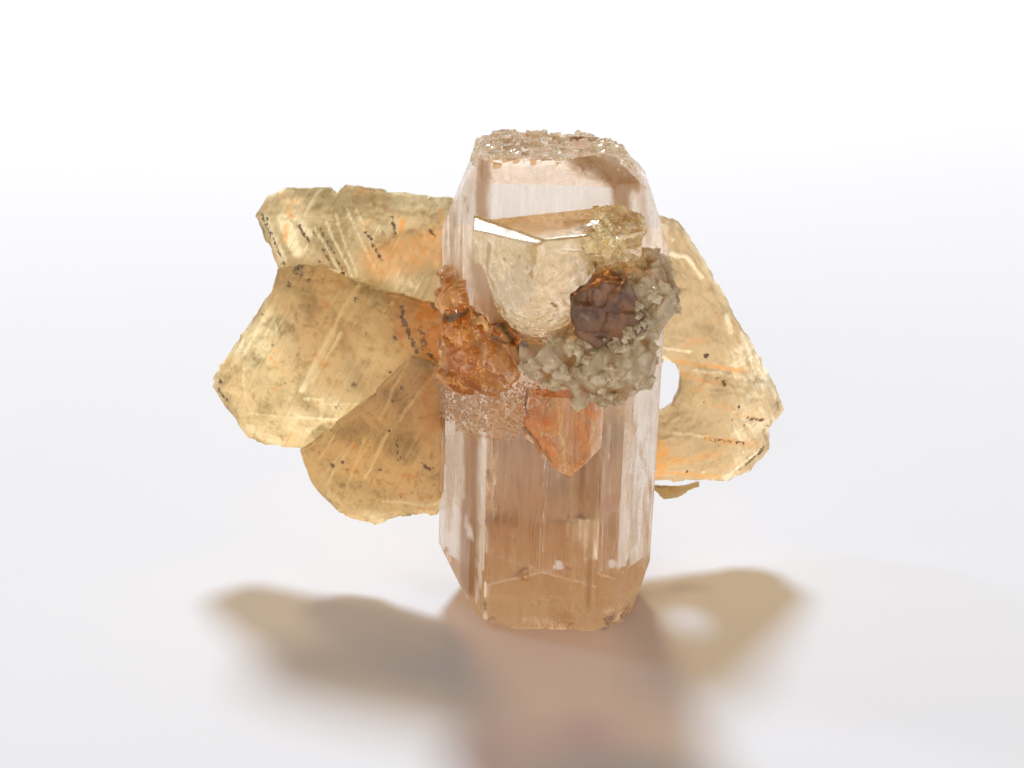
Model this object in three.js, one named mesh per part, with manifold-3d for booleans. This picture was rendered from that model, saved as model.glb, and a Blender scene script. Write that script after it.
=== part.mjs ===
// A doubly terminated topaz crystal standing on its cleaved base, with a small topaz, feldspar,
// a smoky quartz grain and an iron-stained crust grown on its front, and books of muscovite mica
// on both sides. Millimetres, +Z up, +X right, +Y away from the front. Origin: middle of the base.
import * as THREE from "three";
import { mergeVertices } from "three/addons/utils/BufferGeometryUtils.js";
import { ConvexGeometry } from "three/addons/geometries/ConvexGeometry.js";
import Module from "manifold-3d";

const wasm = await Module();
wasm.setup();

// ---- driving dimensions, mm and degrees ----
const GAP = 0.3; // clearance kept between two neighbouring solids
const HALF_WIDTH = 7.75; // side corner of the main crystal, from its axis
const HEIGHT = 33.6; // base to top of the main crystal
const FRONT = -5.5; // depth of the broad front face
const TOP_BACK = 5.2; // depth of the flat back face above the rear shoulder
const REAR_RIDGE = 9.7; // depth of the ridge where the two rear faces meet
const SHOULDER = 27.2; // height at which the rear part ends
const STEEP_PRISM = 27.9; // angle from X of the normal of a steep prism face
const WIDE_PRISM = 46.6; // angle from X of the normal of a wide prism face
const FRONT_LEFT = -4.3; // left edge of the front face
const FRONT_RIGHT = 3.55; // right edge of the front face
const STRIP_RIGHT = [5.0, -4.6]; // edge between the two narrow strips right of the front face
const SIDE_FRONT = -10; // depth of the small crystal's front face
const SIDE_TOP = 30; // height of the small crystal's top
const LEFT_TURN = 17; // degrees by which the left mica books turn back from the front plane
const RIGHT_TURN = 15; // the same for the right mica
const SHEET = 0.4; // thickness of one step of a mica book
const CREASE_WIDTH = 0.45; // width of a crease across a mica book
const CREASE_RISE = 0.22; // how far a crease stands proud

const rad = THREE.MathUtils.degToRad;

// ---- solids ----

// A closed geometry as a solid for joining and cutting.
function solidOf(geometry) {
  const bare = new THREE.BufferGeometry();
  const source = geometry.index ? geometry.toNonIndexed() : geometry;
  bare.setAttribute("position", source.getAttribute("position"));
  const merged = mergeVertices(bare, 1e-4);
  return new wasm.Manifold(
    new wasm.Mesh({
      numProp: 3,
      vertProperties: new Float32Array(merged.attributes.position.array),
      triVerts: new Uint32Array(merged.index.array),
    }),
  );
}

// A solid's surface as a flat-shaded geometry. Crumbs split off by a cut are dropped.
function geometryOf(solid) {
  const bodies = solid.decompose().sort((a, b) => b.volume() - a.volume());
  const { vertProperties, numProp, triVerts } = bodies[0].getMesh();
  const count = vertProperties.length / numProp;
  const positions = new Float32Array(count * 3);
  for (let i = 0; i < count; i++)
    positions.set(vertProperties.subarray(i * numProp, i * numProp + 3), i * 3);
  const indexed = new THREE.BufferGeometry();
  indexed.setAttribute("position", new THREE.BufferAttribute(positions, 3));
  indexed.setIndex(new THREE.BufferAttribute(triVerts, 1));
  const flat = indexed.toNonIndexed();
  flat.computeVertexNormals();
  return flat;
}

// One flat crystal face: its outward normal by azimuth from +X and rise above the horizon, and a
// point on it.
function face(azimuth, rise, through) {
  const normal = new THREE.Vector3(
    Math.cos(rad(azimuth)) * Math.cos(rad(rise)),
    Math.sin(rad(azimuth)) * Math.cos(rad(rise)),
    Math.sin(rad(rise)),
  );
  return { normal, distance: normal.dot(new THREE.Vector3(...through)) };
}

// The corner where three faces meet, or null where two of them are parallel.
function corner(a, b, c) {
  const bc = b.normal.clone().cross(c.normal);
  const volume = a.normal.dot(bc);
  if (Math.abs(volume) < 1e-6) return null;
  return bc
    .multiplyScalar(a.distance)
    .addScaledVector(c.normal.clone().cross(a.normal), b.distance)
    .addScaledVector(a.normal.clone().cross(b.normal), c.distance)
    .divideScalar(volume);
}

// The convex solid bounded by the faces, each moved out by growth.
function faceted(faces, growth = 0) {
  const moved = faces.map(({ normal, distance }) => ({
    normal,
    distance: distance + growth,
  }));
  const corners = [];
  for (let i = 0; i < moved.length; i++)
    for (let j = i + 1; j < moved.length; j++)
      for (let k = j + 1; k < moved.length; k++) {
        const point = corner(moved[i], moved[j], moved[k]);
        if (!point) continue;
        const inside = moved.every((f) => f.normal.dot(point) < f.distance + 1e-5);
        const fresh = corners.every((p) => p.distanceTo(point) > 1e-3);
        if (inside && fresh) corners.push(point);
      }
  return solidOf(new ConvexGeometry(corners));
}

// A repeatable number from 0 to 1 for a lattice point.
function lattice(x, y, z, seed) {
  const wave = Math.sin(x * 127.1 + y * 311.7 + z * 74.7 + seed * 53.3) * 43758.5453;
  return wave - Math.floor(wave);
}

// Smooth noise from 0 to 1 with bumps about one unit wide.
function noise(point, seed) {
  const cell = point.clone().floor();
  const part = point.clone().sub(cell);
  const ease = (t) => t * t * (3 - 2 * t);
  const [u, v, w] = [ease(part.x), ease(part.y), ease(part.z)];
  const at = (i, j, k) => lattice(cell.x + i, cell.y + j, cell.z + k, seed);
  const along = (j, k) => THREE.MathUtils.lerp(at(0, j, k), at(1, j, k), u);
  const across = (k) => THREE.MathUtils.lerp(along(0, k), along(1, k), v);
  return THREE.MathUtils.lerp(across(0), across(1), w);
}

// A rough grown mass: a ball stretched to the radii, with lumps of two sizes pushed in and out.
function mass({ centre, radii, detail, rough, grain, seed }, growth = 0) {
  const geometry = new THREE.IcosahedronGeometry(1, detail);
  const place = geometry.getAttribute("position");
  const point = new THREE.Vector3();
  for (let i = 0; i < place.count; i++) {
    point.fromBufferAttribute(place, i);
    const spot = point.clone().multiply(new THREE.Vector3(...radii));
    const coarse = noise(spot.clone().divideScalar(grain).addScalar(9), seed) - 0.5;
    const fine = noise(spot.clone().divideScalar(grain * 0.4).addScalar(9), seed + 7) - 0.5;
    const push = 1 + rough * (coarse * 1.4 + fine * 0.8);
    spot.multiplyScalar(push + growth / Math.min(...radii));
    place.setXYZ(i, centre[0] + spot.x, centre[1] + spot.y, centre[2] + spot.z);
  }
  return solidOf(geometry);
}

// ---- main topaz ----

const BASE = face(0, -90, [0, 0, 0]);

// The side faces shared by the front and rear parts of the main crystal.
function sideFaces() {
  return [
    face(-STEEP_PRISM, 0, [HALF_WIDTH, 0, 0]),
    face(180 + STEEP_PRISM, 0, [-HALF_WIDTH, 0, 0]),
    face(STEEP_PRISM, 0, [HALF_WIDTH, 0, 0]),
    face(180 - STEEP_PRISM, 0, [-HALF_WIDTH, 0, 0]),
    face(180, 24, [-HALF_WIDTH, 0, 27.6]), // left dome of the top
    face(0, 19.4, [HALF_WIDTH, 0, 26.4]), // steep right dome
    face(0, 47, [6.05, 0, 31.15]), // flatter right dome
    face(180, -44, [-HALF_WIDTH, 0, 3.9]), // left bevel at the base
    face(0, -25.5, [HALF_WIDTH, 0, 2.9]), // right bevel at the base
  ];
}

// The front part: full height, with a flat face front and back and a flat top at the given height.
function frontFaces(top) {
  const [stripX, stripY] = STRIP_RIGHT;
  const stripTurn = THREE.MathUtils.radToDeg(
    Math.atan2(stripX - FRONT_RIGHT, stripY - FRONT),
  );
  return [
    ...sideFaces(),
    BASE,
    face(0, 90, [0, 0, top]),
    face(-90, 0, [0, FRONT, 0]),
    face(-stripTurn, 0, [FRONT_RIGHT, FRONT, 0]), // wider strip right of the front face
    face(-WIDE_PRISM, 0, [stripX, stripY, 0]), // narrow strip beside it
    face(180 + WIDE_PRISM, 0, [FRONT_LEFT, FRONT, 0]),
    face(90, 0, [0, TOP_BACK, 0]),
    face(90, 48, [0, 1.7, HEIGHT]), // bevel along the back of the top
    face(-54, 52, [0.2, FRONT, HEIGHT]), // broken front right corner of the top
    face(240, -58, [-3.2, -4.8, 0]), // small bevel at the front left of the base
  ];
}

// The rear part: a ridge at the back that ends lower down in a sloping shoulder.
function rearFaces() {
  return [
    ...sideFaces(),
    BASE,
    face(-90, 0, [0, TOP_BACK / 2, 0]),
    face(WIDE_PRISM, 0, [0, REAR_RIDGE, 0]),
    face(180 - WIDE_PRISM, 0, [0, REAR_RIDGE, 0]),
    face(90, 35, [0, TOP_BACK, SHOULDER]),
  ];
}

// Low stepped growth hills on the top face.
function growthHills(growth) {
  const places = [
    [-3.7, 1.1, 0.8],
    [-3.8, -0.6, 0.7],
    [-2.8, 1.2, 0.75],
    [-2.7, -0.3, 0.7],
    [-1.7, 1.3, 0.7],
    [-1.5, -1.2, 0.5],
    [-3.5, -2.6, 0.6],
    [-3.9, -4.4, 0.5],
    [0.8, 1.2, 0.6],
    [1.8, 1.1, 0.6],
    [-0.5, 1.3, 0.5],
    [-2.4, -4.2, 0.4],
  ];
  return places.map(([x, y, size], i) => {
    const turn = i * 37;
    const sides = [0, 90, 180, 270].map((a) => {
      const azimuth = a + turn;
      const reach = size * (a % 180 ? 0.8 : 1.2);
      return face(azimuth, 38, [
        x + reach * Math.cos(rad(azimuth)),
        y + reach * Math.sin(rad(azimuth)),
        HEIGHT,
      ]);
    });
    const top = face(0, 90, [0, 0, HEIGHT + size * 0.42]);
    const root = face(0, -90, [0, 0, HEIGHT - 0.4]);
    return faceted([...sides, top, root], growth);
  });
}

// Wedge-shaped chips knocked out of the base edge.
function baseChips() {
  const places = [
    [4.7, -4.3, 0.8],
    [5.7, -3.0, 0.65],
    [2.1, -5.6, 0.55],
    [0.2, -5.6, 0.4],
    [-3.9, -5.3, 0.7],
    [6.3, 0.6, 0.6],
    [-1.4, 8.3, 0.7],
  ];
  return places.map(([x, y, size], i) => {
    const chip = new THREE.TetrahedronGeometry(size * 1.5);
    chip.rotateX(i * 0.9);
    chip.rotateZ(i * 1.7);
    chip.translate(x, y, size * 0.15);
    return solidOf(chip);
  });
}

function mainTopaz(growth = 0) {
  const rim = faceted(frontFaces(HEIGHT + 1), growth);
  let solid = faceted(frontFaces(HEIGHT), growth).add(faceted(rearFaces(), growth));
  for (const hill of growthHills(growth)) solid = solid.add(hill.intersect(rim));
  if (growth === 0) for (const chip of baseChips()) solid = solid.subtract(chip);
  return solid;
}

// ---- small crystals on the front ----

// Plan of the small topaz: two wide prism faces and a narrow front face, parallel to the main one.
function sideFaceList() {
  return [
    face(-90, 0, [0, SIDE_FRONT, 0]),
    face(-90 - 44, 0, [-1.3, SIDE_FRONT, 0]),
    face(-90 + 47, 0, [2.1, SIDE_FRONT, 0]),
    face(180, 0, [-5.5, 0, 0]),
    face(0, 0, [5.4, 0, 0]),
    face(90, 0, [0, FRONT + 1, 0]),
    face(-130, 78, [0, -7.5, SIDE_TOP]), // top, falling to the front left
    face(180 + 44, 42, [-3.6, -7.6, SIDE_TOP - 0.9]), // bright bevel at the top left
    face(-38, 50, [3.6, -8.4, SIDE_TOP - 0.6]),
  ];
}

// The small topaz: a flat-faced head over a rounded, shell-like fracture.
function sideTopaz(growth = 0) {
  const whole = faceted([...sideFaceList(), face(0, -90, [0, 0, 20])], growth);
  const head = faceted([...sideFaceList(), face(-90, -62, [0, -8, 27.8])], growth);
  const shell = new THREE.SphereGeometry(1, 28, 18);
  shell.rotateX(rad(90));
  shell.scale(3.95 + growth, 5.0 + growth, 6.3 + growth);
  shell.translate(-1.05, FRONT + 0.4, 28);
  return whole.intersect(solidOf(shell)).add(head);
}

// The spear-shaped lower end of a stained crystal, pointing down.
function tipCrystal(growth = 0) {
  return faceted(
    [
      face(-90, 0, [0, -7.3, 0]),
      face(90, 0, [0, FRONT - GAP + growth, 0]),
      face(-90 - 48, 0, [-0.6, -7.3, 0]),
      face(-90 + 40, 0, [2.6, -7.3, 0]),
      face(0, 0, [3.4, 0, 0]),
      face(180 + 12, -46, [1.2, -7, 12.2]), // long slanting end face
      face(-12, -42, [1.2, -7, 12.2]), // short end face
      face(-90, -28, [1.2, -7.0, 12.8]),
      face(180, 0, [-2.1, 0, 0]),
      face(0, 90, [0, 0, 18.2]),
    ],
    growth,
  );
}

// ---- grown masses on the front ----

const SMOKY = { centre: [3.25, -9.0, 24.4], radii: [2.05, 1.7, 2.5], detail: 4, rough: 0.5 };
const CRUST = [
  { centre: [-4.6, -4.6, 20.3], radii: [3.1, 2.5, 3.4], detail: 5, rough: 0.3 },
  { centre: [-6.2, -2.4, 23.4], radii: [1.7, 2.2, 2.1], detail: 4, rough: 0.35 },
];
const FELDSPAR = [
  { centre: [5.2, -5.2, 24.4], radii: [2.2, 3.5, 3.2], detail: 7, rough: 0.26 },
  { centre: [3.3, -6.6, 21.0], radii: [3.1, 2.6, 2.9], detail: 7, rough: 0.28 },
  { centre: [-0.1, -6.3, 20.9], radii: [2.2, 1.9, 1.8], detail: 5, rough: 0.3 },
];

function cluster(lumps, seed, growth = 0) {
  return lumps
    .map((lump, i) => mass({ ...lump, grain: 1.7, seed: seed + i }, growth))
    .reduce((joined, lump) => joined.add(lump));
}

const smokyGrain = (growth = 0) => cluster([SMOKY], 3, growth);
const stainedCrust = (growth = 0) => cluster(CRUST, 11, growth);
const feldspar = () => cluster(FELDSPAR, 20);

// ---- mica ----

// One upright sheet of a book with its rim moved in by trim: what copies of the sheet shifted
// towards every side still share. The outline is in the book's plane, its back face at depth.
function sheet({ outline, hole, trim = 0 }, depth, thickness) {
  const vectors = (points) => points.map(([u, v]) => new THREE.Vector2(u, v));
  const shape = new THREE.Shape(vectors(outline));
  if (hole) shape.holes.push(new THREE.Path(vectors(hole)));
  const upright = new THREE.ExtrudeGeometry(shape, { depth: thickness, bevelEnabled: false });
  upright.rotateX(rad(90));
  upright.translate(0, depth, 0);
  const whole = solidOf(upright);
  if (!trim) return whole;
  return [0, 60, 120, 180, 240, 300].reduce((left, turn) => {
    const [side, up] = [trim * Math.cos(rad(turn)), trim * Math.sin(rad(turn))];
    return left.intersect(solidOf(upright.clone().translate(side, 0, up)));
  }, whole);
}

// A straight crease standing a little proud of the book's front, from (u1, v1) to (u2, v2).
function crease([u1, v1, u2, v2], front) {
  const along = new THREE.Vector2(u2 - u1, v2 - v1).normalize();
  const side = new THREE.Vector2(-along.y, along.x).multiplyScalar(CREASE_WIDTH / 2);
  const at = (u, v, depth) => new THREE.Vector3(u, depth, v);
  const points = [
    at(u1, v1, front + 0.2),
    at(u2, v2, front + 0.2),
    at(u1 + along.x * 0.8, v1 + along.y * 0.8, front - CREASE_RISE),
    at(u2 - along.x * 0.8, v2 - along.y * 0.8, front - CREASE_RISE),
  ];
  for (const way of [1, -1]) {
    const [du, dv] = [side.x * way, side.y * way];
    points.push(at(u1 + along.x * 0.4 + du, v1 + along.y * 0.4 + dv, front + 0.1));
    points.push(at(u2 - along.x * 0.4 + du, v2 - along.y * 0.4 + dv, front + 0.1));
  }
  return solidOf(new ConvexGeometry(points));
}

// A book of mica: sheets that step back from the rim towards the front, with creases across the
// front, turned about Z and set down with the plane's zero at place.
function book({ steps, folds, place, turn, back }) {
  const pose = new THREE.Matrix4()
    .makeRotationZ(rad(turn))
    .setPosition(new THREE.Vector3(...place));
  const sheets = steps.map((step, i) => sheet(step, back - i * SHEET, SHEET + 0.02));
  const front = back - steps.length * SHEET;
  const creases = folds.map((line) => crease(line, front));
  const joined = [...sheets, ...creases].reduce((all, one) => all.add(one));
  return solidOf(geometryOf(joined).applyMatrix4(pose));
}

const UPPER_LEFT = [
  [-15.9, 25.7],
  [-14.8, 27.4],
  [-12.8, 28.2],
  [-9.7, 28.4],
  [-9.3, 28.1],
  [-8.6, 28.7],
  [-4.4, 28.5],
  [1.6, 28.5],
  [1.6, 17.0],
  [-9.8, 17.6],
  [-13.4, 20.0],
  [-14.0, 21.8],
];

// The front step of the upper book stops short of its left corner.
const UPPER_LEFT_FRONT = [
  [-11.9, 27.4],
  [-9.6, 27.9],
  [-4.4, 28.0],
  [1.6, 27.9],
  [1.6, 17.6],
  [-9.0, 18.2],
  [-10.4, 21.6],
  [-10.9, 24.4],
];

const MIDDLE_LEFT = [
  [-13.7, 22.5],
  [-14.4, 20.8],
  [-16.1, 18.3],
  [-17.9, 15.7],
  [-19.4, 13.3],
  [-19.5, 12.5],
  [-18.7, 11.4],
  [-16.5, 8.8],
  [-15.2, 8.4],
  [-12.3, 8.6],
  [-6.5, 8.2],
  [0.7, 11.0],
  [0.7, 21.2],
  [-5.8, 21.8],
  [-8.5, 22.6],
  [-10.2, 23.1],
  [-12.0, 23.2],
];

const MIDDLE_LEFT_FRONT = [
  [-12.6, 21.4],
  [-13.6, 19.3],
  [-15.4, 16.7],
  [-17.2, 13.8],
  [-16.9, 12.6],
  [-15.3, 11.0],
  [-12.0, 10.7],
  [-6.5, 10.0],
  [0.7, 11.6],
  [0.7, 19.6],
  [-4.6, 20.6],
  [-7.4, 21.8],
  [-9.2, 21.3],
];

const LOWER_LEFT = [
  [-12.0, 9.5],
  [-11.4, 7.4],
  [-10.4, 6.1],
  [-8.4, 4.6],
  [-7.2, 4.35],
  [-5.8, 4.3],
  [-4.0, 5.3],
  [-1.1, 5.9],
  [-0.8, 6.5],
  [-0.1, 8.1],
  [0.2, 12.0],
  [0.2, 17.4],
  [-3.1, 17.9],
  [-4.8, 16.2],
  [-6.7, 14.2],
  [-9.5, 11.6],
];

const RIGHT = [
  [-3.9, 26.2],
  [0.4, 27.0],
  [1.8, 26.5],
  [2.3, 26.0],
  [3.3, 24.3],
  [4.7, 22.4],
  [7.3, 18.3],
  [10.2, 13.6],
  [11.5, 11.1],
  [10.3, 9.5],
  [10.5, 7.9],
  [9.1, 6.2],
  [7.3, 5.3],
  [4.1, 5.7],
  [-3.9, 6.2],
];

// The gap in the right book beside the crystal.
const RIGHT_HOLE = [
  [0.2, 12.3],
  [1.3, 11.6],
  [2.3, 12.2],
  [2.8, 13.3],
  [2.7, 14.8],
  [2.2, 15.6],
  [1.2, 15.8],
  [0.2, 14.9],
];

// The front step of the right book covers only its lower half.
const RIGHT_FRONT = [
  [3.6, 15.3],
  [9.6, 13.4],
  [10.9, 11.2],
  [9.8, 9.6],
  [9.9, 8.0],
  [8.7, 6.6],
  [7.1, 5.9],
  [4.1, 6.2],
  [-3.9, 6.8],
  [-3.9, 10.3],
  [1.6, 10.9],
  [3.0, 12.0],
];

const RIGHT_FOOT = [
  [-3.0, 6.1],
  [0.7, 5.9],
  [1.5, 5.1],
  [2.8, 5.3],
  [4.4, 6.0],
  [4.3, 6.4],
  [2.8, 6.2],
  [-3.0, 7.1],
];

const BOOKS = {
  mica_upper_left: {
    place: [-7.2, 3.4, 0],
    turn: -LEFT_TURN,
    back: 1.65,
    steps: [
      { outline: UPPER_LEFT, trim: 0.8 },
      { outline: UPPER_LEFT },
      { outline: UPPER_LEFT, trim: 0.4 },
      { outline: UPPER_LEFT_FRONT },
    ],
    folds: [
      [-9.3, 26.6, -6.0, 20.2],
      [-8.2, 27.2, -5.4, 21.8],
      [-6.9, 27.4, -4.0, 21.2],
      [-10.6, 25.2, -8.0, 19.4],
    ],
  },
  mica_middle_left: {
    place: [-7.2, 1.2, 0],
    turn: -LEFT_TURN,
    back: 1.65,
    steps: [
      { outline: MIDDLE_LEFT, trim: 0.6 },
      { outline: MIDDLE_LEFT },
      { outline: MIDDLE_LEFT, trim: 0.5 },
      { outline: MIDDLE_LEFT_FRONT },
    ],
    folds: [
      [-7.6, 20.9, -12.4, 13.6],
      [-10.9, 20.6, -12.8, 17.0],
    ],
  },
  mica_lower_left: {
    place: [-7.2, -1.0, 0],
    turn: -LEFT_TURN,
    back: 1.65,
    steps: [
      { outline: LOWER_LEFT, trim: 0.9 },
      { outline: LOWER_LEFT },
      { outline: LOWER_LEFT, trim: 0.5 },
      { outline: LOWER_LEFT, trim: 1.0 },
    ],
    folds: [
      [-3.4, 16.6, -8.9, 7.6],
      [-2.3, 16.2, -7.6, 7.4],
      [-1.2, 15.6, -5.2, 8.4],
      [-4.9, 14.8, -9.9, 8.4],
    ],
  },
  mica_right: {
    place: [7.7, 6.5, 0],
    turn: RIGHT_TURN,
    back: 1.35,
    steps: [
      { outline: RIGHT, hole: RIGHT_HOLE, trim: 0.7 },
      { outline: RIGHT, hole: RIGHT_HOLE },
      { outline: RIGHT, hole: RIGHT_HOLE, trim: 0.3 },
      { outline: RIGHT_FRONT },
    ],
    folds: [
      [3.4, 14.6, 9.2, 12.6],
      [3.6, 13.6, 8.8, 11.9],
      [3.2, 9.6, 9.2, 8.3],
      [0.2, 9.4, 3.6, 8.5],
    ],
  },
  mica_right_foot: {
    place: [7.7, 5.4, 0],
    turn: RIGHT_TURN,
    back: 0.4,
    steps: [{ outline: RIGHT_FOOT }],
    folds: [],
  },
};

// ---- assembly ----

const FINISH = {
  topaz: { color: 0xe3c3a8, roughness: 0.05, metalness: 0 },
  side_topaz: { color: 0xdcd3a6, roughness: 0.06, metalness: 0 },
  stained_quartz: { color: 0xd08a5a, roughness: 0.12, metalness: 0 },
  iron_crust: { color: 0xb9722f, roughness: 0.2, metalness: 0 },
  feldspar: { color: 0xd6cbb4, roughness: 0.55, metalness: 0 },
  smoky_quartz: { color: 0x5a3a3c, roughness: 0.25, metalness: 0 },
  mica: { color: 0xc9a563, roughness: 0.3, metalness: 0 },
};

const specimen = new THREE.Group();

function addPiece(name, finish, solid) {
  const mesh = new THREE.Mesh(
    geometryOf(solid),
    new THREE.MeshStandardMaterial({ ...FINISH[finish], flatShading: true }),
  );
  mesh.name = name;
  specimen.add(mesh);
}

const topazRoom = mainTopaz(GAP);
const sideRoom = sideTopaz(GAP);
const smokyRoom = smokyGrain(GAP);
const tipRoom = tipCrystal(GAP);
const crustRoom = stainedCrust(GAP);

addPiece("topaz_crystal", "topaz", mainTopaz());
addPiece("side_topaz", "side_topaz", sideTopaz().subtract(topazRoom));
addPiece("smoky_grain", "smoky_quartz", smokyGrain().subtract(topazRoom).subtract(sideRoom));
addPiece("stained_tip", "stained_quartz", tipCrystal().subtract(topazRoom));
addPiece(
  "iron_crust",
  "iron_crust",
  stainedCrust().subtract(topazRoom).subtract(sideRoom).subtract(tipRoom),
);
addPiece(
  "feldspar_matrix",
  "feldspar",
  [topazRoom, sideRoom, smokyRoom, tipRoom, crustRoom].reduce(
    (left, room) => left.subtract(room),
    feldspar(),
  ),
);

for (const [name, layout] of Object.entries(BOOKS))
  addPiece(name, "mica", book(layout).subtract(topazRoom).subtract(crustRoom));

export default specimen;
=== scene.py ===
"""A topaz crystal with mica, feldspar and small crystals: its looks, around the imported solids.

Lengths in the dataclasses are millimetres and become metres when a mesh is made. +Z is up, the
broad face of the crystal looks towards -Y, and every piece rides on the one body, "root".
"""

import logging
import math
from dataclasses import dataclass, replace
from enum import Enum
from typing import Iterable, Sequence

import bmesh
import bpy
import numpy as np
from mathutils import Matrix, Vector
from mathutils.geometry import delaunay_2d_cdt

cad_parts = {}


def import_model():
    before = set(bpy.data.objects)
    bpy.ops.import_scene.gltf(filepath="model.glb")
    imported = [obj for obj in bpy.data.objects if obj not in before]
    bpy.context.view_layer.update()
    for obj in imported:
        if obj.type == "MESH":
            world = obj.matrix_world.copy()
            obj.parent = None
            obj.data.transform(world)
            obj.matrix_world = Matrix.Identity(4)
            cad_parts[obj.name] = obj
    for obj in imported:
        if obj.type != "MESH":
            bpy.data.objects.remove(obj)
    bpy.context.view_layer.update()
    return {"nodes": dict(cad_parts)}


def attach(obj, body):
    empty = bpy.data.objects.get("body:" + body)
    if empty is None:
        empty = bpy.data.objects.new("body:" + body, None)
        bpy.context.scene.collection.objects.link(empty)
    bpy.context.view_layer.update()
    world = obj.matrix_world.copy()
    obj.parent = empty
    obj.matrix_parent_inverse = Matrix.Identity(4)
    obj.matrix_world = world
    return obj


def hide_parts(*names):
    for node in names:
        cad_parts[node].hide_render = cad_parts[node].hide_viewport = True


LOG = logging.getLogger("topaz_specimen")
MM = 0.001
PER_MM = 1000.0  # texture scale that makes one unit of a pattern one millimetre wide
BODY = "root"
EVEN = (1.0, 1.0, 1.0)  # a stretch that changes nothing
FLAT = 0.6  # degrees up to which a solid's neighbouring triangles count as one facet
TOPAZ_IOR, QUARTZ_IOR, FELDSPAR_IOR, MICA_IOR, FILM_IOR = 1.62, 1.54, 1.53, 1.58, 1.5
TINY = 1e-9  # a length or slope that counts as none
WELD = 1e-7  # m, corners closer than this are one
STIR = (374761393, 668265263, 1442695041, 974634777)  # scatter x, y, z and seed over the bits
Array = np.ndarray
Object = bpy.types.Object
Material = bpy.types.Material
Colour = tuple[float, float, float, float]
Point = tuple[float, float]


# ---- shader maths ----


class Wire:
    """A node socket whose arithmetic adds Math nodes to its tree."""

    def __init__(self, tree: "Tree", socket: bpy.types.NodeSocket) -> None:
        """Wraps socket, which belongs to tree."""
        self.tree = tree
        self.socket = socket

    def _math(self, operation: str, *values: "Value", bounded: bool = False) -> "Wire":
        """Adds one Math node.

        Args:
            operation: the Math node's operation.
            values: its inputs, in order.
            bounded: keeps the result from 0 to 1.

        Returns:
            The node's result.
        """
        settings = {"operation": operation, "use_clamp": bounded}
        return self.tree.wire("ShaderNodeMath", settings, dict(enumerate(values)))

    def __add__(self, other: "Value") -> "Wire":
        """self + other."""
        return self._math("ADD", self, other)

    __radd__ = __add__

    def __sub__(self, other: "Value") -> "Wire":
        """self - other."""
        return self._math("SUBTRACT", self, other)

    def __rsub__(self, other: "Value") -> "Wire":
        """other - self."""
        return self._math("SUBTRACT", other, self)

    def __mul__(self, other: "Value") -> "Wire":
        """self * other."""
        return self._math("MULTIPLY", self, other)

    __rmul__ = __mul__

    def bounded(self) -> "Wire":
        """self, kept from 0 to 1."""
        return self._math("MULTIPLY", self, 1.0, bounded=True)

    def between(self, low: float, high: float) -> "Wire":
        """A soft step that is 0 up to low and 1 from high on; low may be the larger."""
        inputs = {"Value": self, "From Min": low, "From Max": high}
        return self.tree.wire("ShaderNodeMapRange", {"interpolation_type": "SMOOTHSTEP"}, inputs)


Value = Wire | float | Sequence[float]


class Tree:
    """A node tree of any kind, and the one way to add nodes to it."""

    def __init__(self, tree: bpy.types.NodeTree) -> None:
        """Wraps tree."""
        self.tree = tree

    def node(self, kind: str, settings: dict, inputs: dict) -> bpy.types.Node:
        """Adds a node.

        Args:
            kind: the node's type name.
            settings: its properties, set before its sockets.
            inputs: values or wires for its sockets, by name or number.

        Returns:
            The node.
        """
        node = self.tree.nodes.new(kind)
        for key, value in settings.items():
            setattr(node, key, value)
        for key, value in inputs.items():
            if isinstance(value, Wire):
                self.tree.links.new(value.socket, node.inputs[key])
            else:
                node.inputs[key].default_value = value
        return node

    def out(self, node: bpy.types.Node, key: int | str = 0) -> Wire:
        """The wire from node's output key."""
        return Wire(self, node.outputs[key])

    def wire(self, kind: str, settings: dict, inputs: dict, key: int | str = 0) -> Wire:
        """Adds a node as the method node does, and gives the wire from its output key."""
        return self.out(self.node(kind, settings, inputs), key)


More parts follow.
